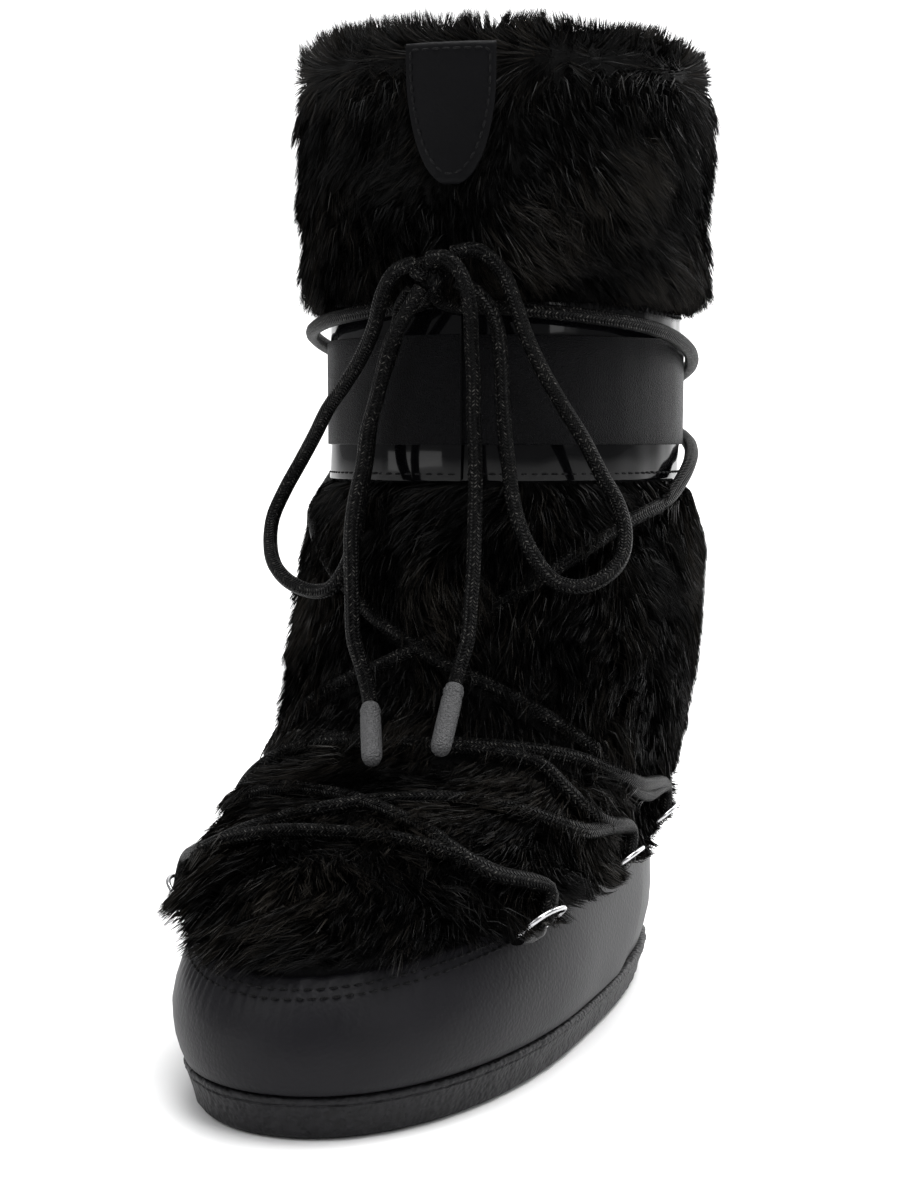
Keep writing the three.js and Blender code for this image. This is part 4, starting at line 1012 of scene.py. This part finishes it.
class BOOT_OT_cuff_fur(bpy.types.Operator):
    """Grows the fur of the cuff, rolled over the collar"""
    bl_idname = "boot.cuff_fur"
    bl_label = "Cuff fur"

    def execute(self, context):
        sizes = context.scene.boot_fur

        def backing(u, v):
            outline = closed_profile([
                (BAND_TOP + 1.5, 0.4), (BAND_TOP + 8, 5.0), (BAND_TOP + 40, 6.0), (COLLAR_HEIGHT - 6, 5.5),
                (COLLAR_HEIGHT + 2.5, 1.5), (COLLAR_HEIGHT + 3.2, -3.0), (COLLAR_HEIGHT + 1, -6.6),
                (COLLAR_HEIGHT - 8, -6.6), (COLLAR_HEIGHT - 8, -5.6), (COLLAR_HEIGHT + 0.6, -2.0),
                (COLLAR_HEIGHT + 0.4, 0.3), (COLLAR_HEIGHT - 4, 0.4)])(v)
            return at(outline[:, 0], u * 360, outline[:, 1])
        bed = shell("fur_backing_cuff", 96, 36, backing)
        dress(bed, finish_named("bed"), "long_fur", "fur_cuff")
        span = COLLAR_HEIGHT - BAND_TOP - 3

        def spot(t, r):
            return at(BAND_TOP + 2 + span * r, t, 0)
        angle, rise = scatter(spot, 120, 30, sizes.density, 31)
        row = row_at(BAND_TOP + 2 + span * rise)
        rising = np.clip((rise - 0.86) / 0.14, 0, 1) ** 1.2
        foot = np.clip(rise / 0.14, 0, 1)
        height = sizes.cuff_height / MM * (0.42 + 0.58 * foot) * (1 - 0.42 * rising)
        reach = np.full(len(angle), CUFF_REACH) * (1 - 0.25 * rising) * (0.5 + 0.5 * foot)
        roots, middles, tips, tones_and_glints = comb(angle, row, height, reach, 0.86, 41, rising)
        rim_rng = np.random.default_rng(51)
        rim_count = int(sizes.density * 2 * np.pi * SHAFT_HALF_DEPTH * RIM_DEPTH)
        rim_angle = rim_rng.uniform(0, 360, rim_count)
        rim_share = rim_rng.uniform(0, 1, rim_count)
        rim_row = np.full(rim_count, float(LAST_ROW))
        rim_roots, rim_mid, rim_tips, rim_tones_and_glints = comb(
            rim_angle, rim_row, np.full(rim_count, RIM_HEIGHT), np.full(rim_count, RIM_REACH), 0.8, 61,
            np.ones(rim_count))
        rim_out = axes(rim_row, rim_angle)[2]
        for points, lean, climb in ((rim_roots, -9.0, 2.2), (rim_mid, -10.5, 0.5), (rim_tips, -12.5, -1.0)):
            points += rim_out * (rim_share * lean)[:, None]
            points[:, 2] += climb * (1 - rim_share * 0.6)
        roots, middles, tips = (np.vstack(v) for v in ((roots, rim_roots), (middles, rim_mid), (tips, rim_tips)))
        tones_and_glints, angle = np.concatenate([tones_and_glints, rim_tones_and_glints]), np.concatenate([angle, rim_angle])
        tips[:, 2] = np.maximum(tips[:, 2], BAND_TOP - 1.5 + 1.4 * np.random.default_rng(8).normal(size=len(tips)))
        centre = knot_centre()
        patch_angle = np.abs((angle - PATCH_ANGLE + 180) % 360 - 180)
        under = (patch_angle < 15) & (tips[:, 2] > PATCH_TIP - 2)
        flat = axes(row_at(tips[:, 2]), angle)[2]
        over_skin = ((tips - at(np.minimum(tips[:, 2], COLLAR_HEIGHT), angle, 0)) * flat).sum(-1)
        sink = np.where(under, np.maximum(0, over_skin - (PATCH_LIFT - 1.6)), 0)
        tips -= flat * sink[:, None]
        middles -= flat * (sink * 0.8)[:, None]
        bow = np.linalg.norm(tips - centre, axis=-1)
        tips -= flat * np.maximum(0, 11 - bow)[:, None]
        widths = sizes.width / MM * np.random.default_rng(6).uniform(0.7, 1.25, len(angle))
        front = np.cos(np.radians(angle)) > 0
        for name, part in {"pile_cuff_front": front, "pile_cuff_back": ~front}.items():
            piece = strand_mesh(name, roots[part], middles[part], tips[part], widths[part], tones_and_glints[part])
            dress(piece, finish_named("fur"), "long_fur", "fur_cuff")
        return {"FINISHED"}


# Leather, band, sole and fittings

def stitch_row(name, points, outs, length, width, gap):
    """Short raised threads end to end along a line of points on a surface."""
    run = np.concatenate([[0], np.cumsum(np.linalg.norm(np.diff(points, axis=0), axis=1))])
    count = max(1, int(run[-1] / (length + gap)))
    middle = (np.arange(count) + 0.5) * run[-1] / count

    def read(values, where):
        return np.stack([np.interp(where, run, values[:, k]) for k in range(3)], -1)
    first, second = read(points, middle - length / 2), read(points, middle + length / 2)
    out = unit(read(outs, middle))
    way = unit(second - first)
    side = np.cross(way, out)
    stations = ((0.0, 0.35, -0.5), (0.22, 0.9, 0.35), (0.5, 1.0, 0.5), (0.78, 0.9, 0.35), (1.0, 0.35, -0.5))
    sides = 6
    turn = np.arange(sides) * 2 * np.pi / sides
    vertices, faces = [], []
    for share, wide, rise in stations:
        centre = mix(first, second, share) + out * (rise * width * 0.5)
        ring = side[:, None] * np.cos(turn)[None, :, None] + out[:, None] * np.sin(turn)[None, :, None]
        vertices.append(centre[:, None] + ring * (wide * width / 2))
    body = np.stack(vertices, 1).reshape(-1, 3)
    per = len(stations) * sides
    for i in range(len(stations) - 1):
        for k in range(sides):
            n = (k + 1) % sides
            faces.append((i * sides + k, i * sides + n, (i + 1) * sides + n, (i + 1) * sides + k))
    for start, flip in ((0, True), ((len(stations) - 1) * sides, False)):
        for k in (1, 3):
            quad = (start, start + k, start + k + 1, start + (k + 2) % sides)
            faces.append(quad[::-1] if flip else quad)
    faces = (np.arange(count)[:, None, None] * per + np.array(faces)[None]).reshape(-1, 4)
    piece = mesh_piece(name, body, faces)
    edit(piece, lambda: bpy.ops.mesh.normals_make_consistent(inside=False))
    return piece


PANEL_SWELL = np.array([
    [0, 0.85], [0.08, 0.98], [0.2, 1.05], [0.42, 1.0], [0.56, 0.86], [0.7, 0.66], [0.82, 0.4], [0.9, 0.2], [1, 0]])
STITCH_GAP = 0.9


def panel_lift(rise, swell):
    return mix(RAND_EDGE, swell, np.interp(rise, PANEL_SWELL[:, 0], PANEL_SWELL[:, 1]))


def seam_angle(rise):
    return mix(SEAM_FOOT_ANGLE, SEAM_TOP_ANGLE, rise)


class LeatherSizes(bpy.types.PropertyGroup):
    stitch: bpy.props.FloatProperty(
        name="Stitch length", description="Length of one stitch", default=0.0026, min=0.0015, max=0.005,
        unit="LENGTH", subtype="DISTANCE")
    thread: bpy.props.FloatProperty(
        name="Thread width", description="Thickness of the sewing thread", default=0.00075, min=0.0004, max=0.0012,
        unit="LENGTH", subtype="DISTANCE")
    gathers: bpy.props.FloatProperty(
        name="Gathers", description="Depth of the soft gathers under the rand's seam", default=0.0004, min=0,
        max=0.0015, unit="LENGTH", subtype="DISTANCE")


class BOOT_OT_rand(bpy.types.Operator):
    """Makes the leather rand and heel counter with their double rows of stitches"""
    bl_idname = "boot.rand"
    bl_label = "Rand and counter"

    def execute(self, context):
        sizes = context.scene.boot_leather
        gather = sizes.gathers / MM
        outline = closed_profile([
            (0, 0.3), (0, 0.85), (0.02, 1), (0.1, 1), (0.2, 1), (0.3, 1), (0.42, 1), (0.56, 1), (0.7, 1), (0.82, 1),
            (0.9, 1), (0.96, 1), (0.985, 0.86), (0.985, 0.3), (0.6, 0.3), (0.3, 0.3)])

        def panel(name, columns, low, high, swell, gathered, *nodes):
            def place(u, v):
                rise, share = outline(v).T
                angle = mix(low(rise), high(rise), u)
                height = mix(FLOOR_OF_UPPER + 0.1, fur_edge(angle) - 0.1, rise)
                lift = panel_lift(rise, swell)
                pleat = np.sin(angle * 1.9 + 1.5 * np.sin(angle * 0.23)) * np.exp(-((rise - 0.84) / 0.12) ** 2)
                pleat = pleat * np.exp(-((angle + 10) / 45) ** 2)
                soft = smooth_noise(skin(row_at(height), angle), 46, 7) * 0.35
                lift = lift + (gathered * gather * pleat + soft * np.sin(np.pi * np.clip(rise, 0, 1)))
                return at(height, angle, 0.4 + (lift - 0.4) * share)
            piece = shell(name, columns, 16, place, ring=False, degrees=50)
            return dress(piece, finish_named("rand"), "rand_leather", *nodes)
        panel("rand_leather", 220, lambda r: 0.25 - seam_angle(r), lambda r: seam_angle(r) - 0.25, RAND_SWELL, 1.0,
              "rand")
        panel("counter_leather", 110, lambda r: seam_angle(r) + 0.25, lambda r: 359.75 - seam_angle(r),
              COUNTER_SWELL, 0.0, "heel_counter")
        rows = []
        for start, end, swell, drops in (
                (-SEAM_TOP_ANGLE + 1.5, SEAM_TOP_ANGLE - 1.5, RAND_SWELL, (3.2, 5.4)),
                (SEAM_TOP_ANGLE + 1.5, 360 - SEAM_TOP_ANGLE - 1.5, COUNTER_SWELL, (3.2, 5.4))):
            for drop in drops:
                angle = np.linspace(start, end, 400)
                height = fur_edge(angle) - drop
                rise = (height - FLOOR_OF_UPPER) / (fur_edge(angle) - FLOOR_OF_UPPER)
                lift = panel_lift(rise, swell) + 0.12
                rows.append((at(height, angle, lift), axes(row_at(height), angle)[2]))
        for side in (1, -1):
            for shift in (1.3, 2.9):
                rise = np.linspace(0.06, 0.97, 60)
                angle = side * (seam_angle(rise) + shift)
                height = mix(FLOOR_OF_UPPER, fur_edge(angle), rise)
                lift = panel_lift(rise, COUNTER_SWELL) + 0.12
                rows.append((at(height, angle, lift), axes(row_at(height), angle)[2]))
        made = [stitch_row(f"row_{i}", points, outs, sizes.stitch / MM, sizes.thread / MM, STITCH_GAP)
                for i, (points, outs) in enumerate(rows)]
        dress(joined("leather_stitches", made), finish_named("thread"), "rand_leather")
        return {"FINISHED"}


class BOOT_OT_sole(bpy.types.Operator):
    """Wraps the sole's side in pebbled rubber and gives the tread the same rubber"""
    bl_idname = "boot.sole"
    bl_label = "Sole"

    def execute(self, context):
        def outline(angle, inset):
            around = axes(np.full(angle.shape, 1.0), angle)[0]
            level = unit(np.stack([around[:, 1], -around[:, 0], np.zeros(len(angle))], -1))
            return skin(np.full(angle.shape, 1.0), angle) + level * (SOLE_MARGIN - inset)[:, None]
        profile = closed_profile([
            (0.25, SOLE_FLARE + 1.6), (0.5, SOLE_FLARE + 0.35), (1.5, SOLE_FLARE - 0.45), (4, SOLE_FLARE - 1.1),
            (7, SOLE_FLARE - 1.95), (9.6, 0.35), (10.1, 0.0), (10.6, 0.25), (11.2, -0.3), (12.0, -0.35),
            (12.6, 0.1), (12.75, 1.4), (11, 2.2), (6, 3.4), (2, 4.4)])

        def place(u, v):
            height, inset = profile(v).T
            points = outline(u * 360, inset)
            points[:, 2] = height
            wave = smooth_noise(points, 9, 3) * 0.18
            return outline(u * 360, inset - wave * (inset < 3.4)) * (1, 1, 0) + height[:, None] * (0, 0, 1)
        side = shell("sole_side", 260, 15, place, degrees=50)
        dress(side, finish_named("sole"), "rubber_sole")
        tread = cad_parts["outsole"]
        tread.data.materials.clear()
        tread.data.materials.append(finish_named("sole"))
        return {"FINISHED"}


class BOOT_OT_lining(bpy.types.Operator):
    """Lines the shaft with fleece and lays the felt insole"""
    bl_idname = "boot.lining"
    bl_label = "Lining and insole"

    def execute(self, context):
        def wall(u, v):
            levels = (0, 0.8, 1.6, 2.4, 3.2, *range(4, 17), LAST_ROW)
            outline = closed_profile([(level, 0) for level in levels] + [(level, 1) for level in levels[::-1]])(v)
            row, inside = outline.T
            quilt = np.abs(np.sin(np.radians(u * 360) * 9)) * 0.5
            points = lifted(row, u * 360, -0.1 - inside * (UPPER_WALL - 0.2 - quilt * (row < 16.5)))
            points[:, 2] = np.where(row > LAST_ROW - NUDGE, COLLAR_HEIGHT, points[:, 2])
            points[:, 2] = np.where(row < NUDGE, FLOOR_OF_UPPER, points[:, 2])
            return points
        lining = shell("fleece_lining", 144, 38, wall)
        dress(lining, finish_named("lining"), "lining", "upper")

        def cushion(u, v):
            outline = closed_profile([
                (0, 0), (0.45, 0), (1, 0.1), (1, 0.85), (0.97, 1), (0.8, 1.02), (0.45, 0.96), (0, 0.96)])
            share, rise = outline(v).T
            edge = lifted(np.zeros(len(u)), u * 360, -UPPER_WALL - 0.9)
            centre = np.array([0.0, -0.35 * TOE_REACH, 0.0])
            points = centre + (edge - centre) * share[:, None]
            points[:, 2] = FLOOR_OF_UPPER + 0.02 + rise * INSOLE_THICKNESS
            return points
        insole = shell("felt_insole", 96, 8, cushion, degrees=60)
        dress(insole, finish_named("felt"), "felt_insole", "insole")
        return {"FINISHED"}


class BandSizes(bpy.types.PropertyGroup):
    wrinkle: bpy.props.FloatProperty(
        name="Band wrinkles", description="Depth of the soft dents in the glossy band", default=0.00035, min=0,
        max=0.001, unit="LENGTH", subtype="DISTANCE")


class BOOT_OT_band(bpy.types.Operator):
    """Makes the glossy band round the shaft, its matte strip, its lap and their stitches"""
    bl_idname = "boot.band"
    bl_label = "Band"

    def execute(self, context):
        dent = context.scene.boot_band.wrinkle / MM
        stitch = context.scene.boot_leather

        def hoop(name, columns, foot, top, low, high, finish, slot, nodes, wrinkle, start=0.0, end=360.0, edge=0.5):
            outline = closed_profile([
                (foot, low), (foot, mix(low, high, 0.6)), (foot + edge * 0.4, high - 0.15), (foot + edge, high),
                (mix(foot, top, 0.2), high), (mix(foot, top, 0.4), high), (mix(foot, top, 0.6), high),
                (mix(foot, top, 0.8), high), (top - edge, high), (top - edge * 0.4, high - 0.15),
                (top, mix(low, high, 0.6)), (top, low)])
            ring = end - start > 359

            def place(u, v):
                height, lift = outline(v).T
                angle = mix(start, end, u)
                base = at(height, angle, 0)
                bend = smooth_noise(base * (1, 1, 0.5), 30, 9) + 0.6 * smooth_noise(base * (1, 1, 0.35), 13, 10)
                return at(height, angle, lift + wrinkle * bend * (lift > low + 0.2))
            piece = shell(name, columns, 12, place, ring=ring, degrees=40)
            return dress(piece, finish_named(finish), slot, *nodes)
        hoop("glossy_band", 180, BAND_FOOT, BAND_TOP, 0.5, BAND_OUT, "patent", "patent_band", ("band",), dent)
        hoop("matte_strip", 180, STRIP_FOOT, STRIP_TOP, BAND_OUT - 0.2, STRIP_OUT, "strip", "matte_strip",
             ("band_strip",), 0.4 * dent, edge=0.35)
        lap_start = BAND_LAP_ANGLE - BAND_LAP_LENGTH
        lap_out = STRIP_OUT + CLEARANCE + BAND_LAP
        hoop("band_lap", 24, BAND_FOOT, BAND_TOP, STRIP_OUT + 0.2, lap_out - 0.25, "patent", "patent_band",
             ("band_lap",), 0.5 * dent, lap_start, BAND_LAP_ANGLE)
        hoop("lap_strip", 24, STRIP_FOOT, STRIP_TOP, lap_out - 0.5, lap_out + 0.15, "strip", "matte_strip", (),
             0.2 * dent, lap_start, BAND_LAP_ANGLE - 0.4, edge=0.3)
        made = []
        for height in (BAND_FOOT + 2.4, BAND_TOP - 2.4):
            for low, high, lift in ((BAND_LAP_ANGLE + 1, 360 + lap_start - 1, BAND_OUT + 0.1),
                                    (lap_start + 1, BAND_LAP_ANGLE - 1, lap_out - 0.15)):
                angle = np.linspace(low, high, 300)
                made.append(stitch_row(f"band_row_{len(made)}", at(np.full(300, height), angle, lift),
                                       axes(row_at(np.full(300, height)), angle)[2], stitch.stitch / MM,
                                       stitch.thread / MM, STITCH_GAP))
        dress(joined("band_stitches", made), finish_named("thread"), "patent_band")
        return {"FINISHED"}


class BOOT_OT_rings(bpy.types.Operator):
    """Bends the wire rings and rolls the leather tabs that hold them"""
    bl_idname = "boot.rings"
    bl_label = "Rings and tabs"

    def execute(self, context):
        for side, flip in (("left", 1), ("right", -1)):
            for number, angle in enumerate(RING_ANGLES, 1):
                base, around, up, out, lean = ring_frame(angle)
                turn = np.linspace(0, 2 * np.pi, 61)
                c, s = np.cos(turn), np.sin(turn)
                power = np.where(s > 0, 2 / 2.4, 2 / 6)
                x = RING_WIDTH / 2 * np.sign(c) * np.abs(c) ** power
                y = RING_HEIGHT / 2 * np.sign(s) * np.abs(s) ** power
                wire = base + lean * RING_HEIGHT / 2 + around * x[:, None] + lean * y[:, None]
                ring = cord_piece(f"wire_ring_{side}_{number}", [wire * (flip, 1, 1)], RING_WIRE / 2, 10)
                edit(ring, lambda: bpy.ops.mesh.normals_make_consistent(inside=False))
                dress(ring, finish_named("metal"), "ring_wire", f"ring_{side}_{number}")

                def roll(u, v):
                    bend = 2 * np.pi * v
                    narrow = 1 - 0.12 * np.abs(2 * u - 1) ** 4
                    deep = np.sign(np.cos(bend)) * np.abs(np.cos(bend)) ** 0.8 * TAB_DEPTH * 0.5 * narrow
                    tall = np.sign(np.sin(bend)) * np.abs(np.sin(bend)) ** 0.8 * TAB_HEIGHT * 0.5 * narrow
                    crease = 1 - 0.06 * np.cos(bend * 3) * np.cos((u - 0.5) * 9)
                    along = (u - 0.5) * TAB_WIDTH
                    points = base + out * (deep * crease)[:, None] + up * (tall * crease)[:, None]
                    points = points + around * along[:, None]
                    return points * (flip, 1, 1)
                tab = shell(f"leather_tab_{side}_{number}", 14, 24, roll, ring=False, degrees=60)
                dress(tab, finish_named("tab"), "tab_leather", f"ring_tab_{side}_{number}")
        return {"FINISHED"}


class BOOT_OT_patch(bpy.types.Operator):
    """Sews the leather patch on the cuff"""
    bl_idname = "boot.patch"
    bl_label = "Collar patch"

    def execute(self, context):
        sizes = context.scene.boot_leather

        def outline(share, rise, inset, lift):
            height = mix(PATCH_TIP + inset * 1.3, PATCH_TOP - inset * 0.6, rise)
            wide = PATCH_HALF_WIDTH * np.sqrt(np.maximum(0, 1 - (1 - np.minimum(1, rise * 1.25)) ** 2)) + 1 - inset
            turn = PATCH_ANGLE + np.degrees((2 * share - 1) * np.maximum(wide, 0.4) / SHAFT_HALF_DEPTH) * 0.8
            return at(height, turn, lift)
        section_line = closed_profile([
            (0, 0.2), (0, 0.8), (0.03, 1), (0.2, 1.02), (0.35, 1.03), (0.5, 1.04), (0.65, 1.03), (0.8, 1.02),
            (0.97, 1), (1, 0.8), (1, 0.2), (0.9, 0), (0.5, 0), (0.1, 0)])

        def place(u, v):
            share, thick = section_line(v).T
            rise = np.clip(u, 0.004, 0.996)
            edge = np.minimum(1, np.minimum(u, 1 - u) / 0.03)
            return outline(share, rise, 0.0, PATCH_LIFT + PATCH_THICKNESS * mix(0.5, thick, edge))
        piece = shell("leather_patch", 60, 14, place, ring=False, degrees=50)
        dress(piece, finish_named("patch"), "patch_leather", "collar_patch")
        rise = np.linspace(0.97, 0.02, 80)
        left = outline(np.zeros(80), rise, 2.1, PATCH_LIFT + PATCH_THICKNESS + 0.1)
        right = outline(np.ones(80), rise[::-1], 2.1, PATCH_LIFT + PATCH_THICKNESS + 0.1)
        top = outline(np.linspace(1, 0, 30), np.full(30, 0.97), 2.1, PATCH_LIFT + PATCH_THICKNESS + 0.1)
        line = np.vstack([left, right, top])
        outs = axes(row_at(line[:, 2]), np.full(len(line), PATCH_ANGLE))[2]
        thread = stitch_row("patch_stitches", line, outs, sizes.stitch / MM, sizes.thread / MM, 0.8)
        dress(thread, finish_named("thread"), "patch_leather")
        return {"FINISHED"}


STEPS = (
    ("camera", "Camera"), ("laces", "Laces"), ("stage", "Stage"), ("sole", "Sole"), ("lining", "Lining and insole"),
    ("rand", "Rand and counter"), ("band", "Band"), ("rings", "Rings and tabs"), ("patch", "Collar patch"),
    ("lower_fur", "Lower fur"), ("cuff_fur", "Cuff fur"))


class BOOT_PT_panel(bpy.types.Panel):
    """The boot's steps and the sizes that they read"""
    bl_idname = "BOOT_PT_panel"
    bl_label = "Snow boot"
    bl_space_type = "VIEW_3D"
    bl_region_type = "UI"
    bl_category = "Snow boot"

    def draw(self, context):
        for group in ("boot_fur", "boot_leather", "boot_band", "boot_cords"):
            values = getattr(context.scene, group)
            for name in values.__annotations__:
                self.layout.prop(values, name)
        for step, label in STEPS:
            self.layout.operator(f"boot.{step}", text=label)


GROUPS = {"boot_fur": FurSizes, "boot_leather": LeatherSizes, "boot_band": BandSizes, "boot_cords": CordSizes}
CLASSES = (
    *GROUPS.values(), BOOT_OT_camera, BOOT_OT_laces, BOOT_OT_stage, BOOT_OT_sole, BOOT_OT_lining, BOOT_OT_rand,
    BOOT_OT_band, BOOT_OT_rings, BOOT_OT_patch, BOOT_OT_lower_fur, BOOT_OT_cuff_fur, BOOT_PT_panel)


def register():
    for made in CLASSES:
        bpy.utils.register_class(made)
    for name, group in GROUPS.items():
        setattr(bpy.types.Scene, name, bpy.props.PointerProperty(type=group))


def unregister():
    for name in GROUPS:
        delattr(bpy.types.Scene, name)
    for made in reversed(CLASSES):
        bpy.utils.unregister_class(made)


def main():
    register()
    for step, _ in STEPS:
        getattr(bpy.ops.boot, step)()
    deselect()


if __name__ == "__main__":
    main()
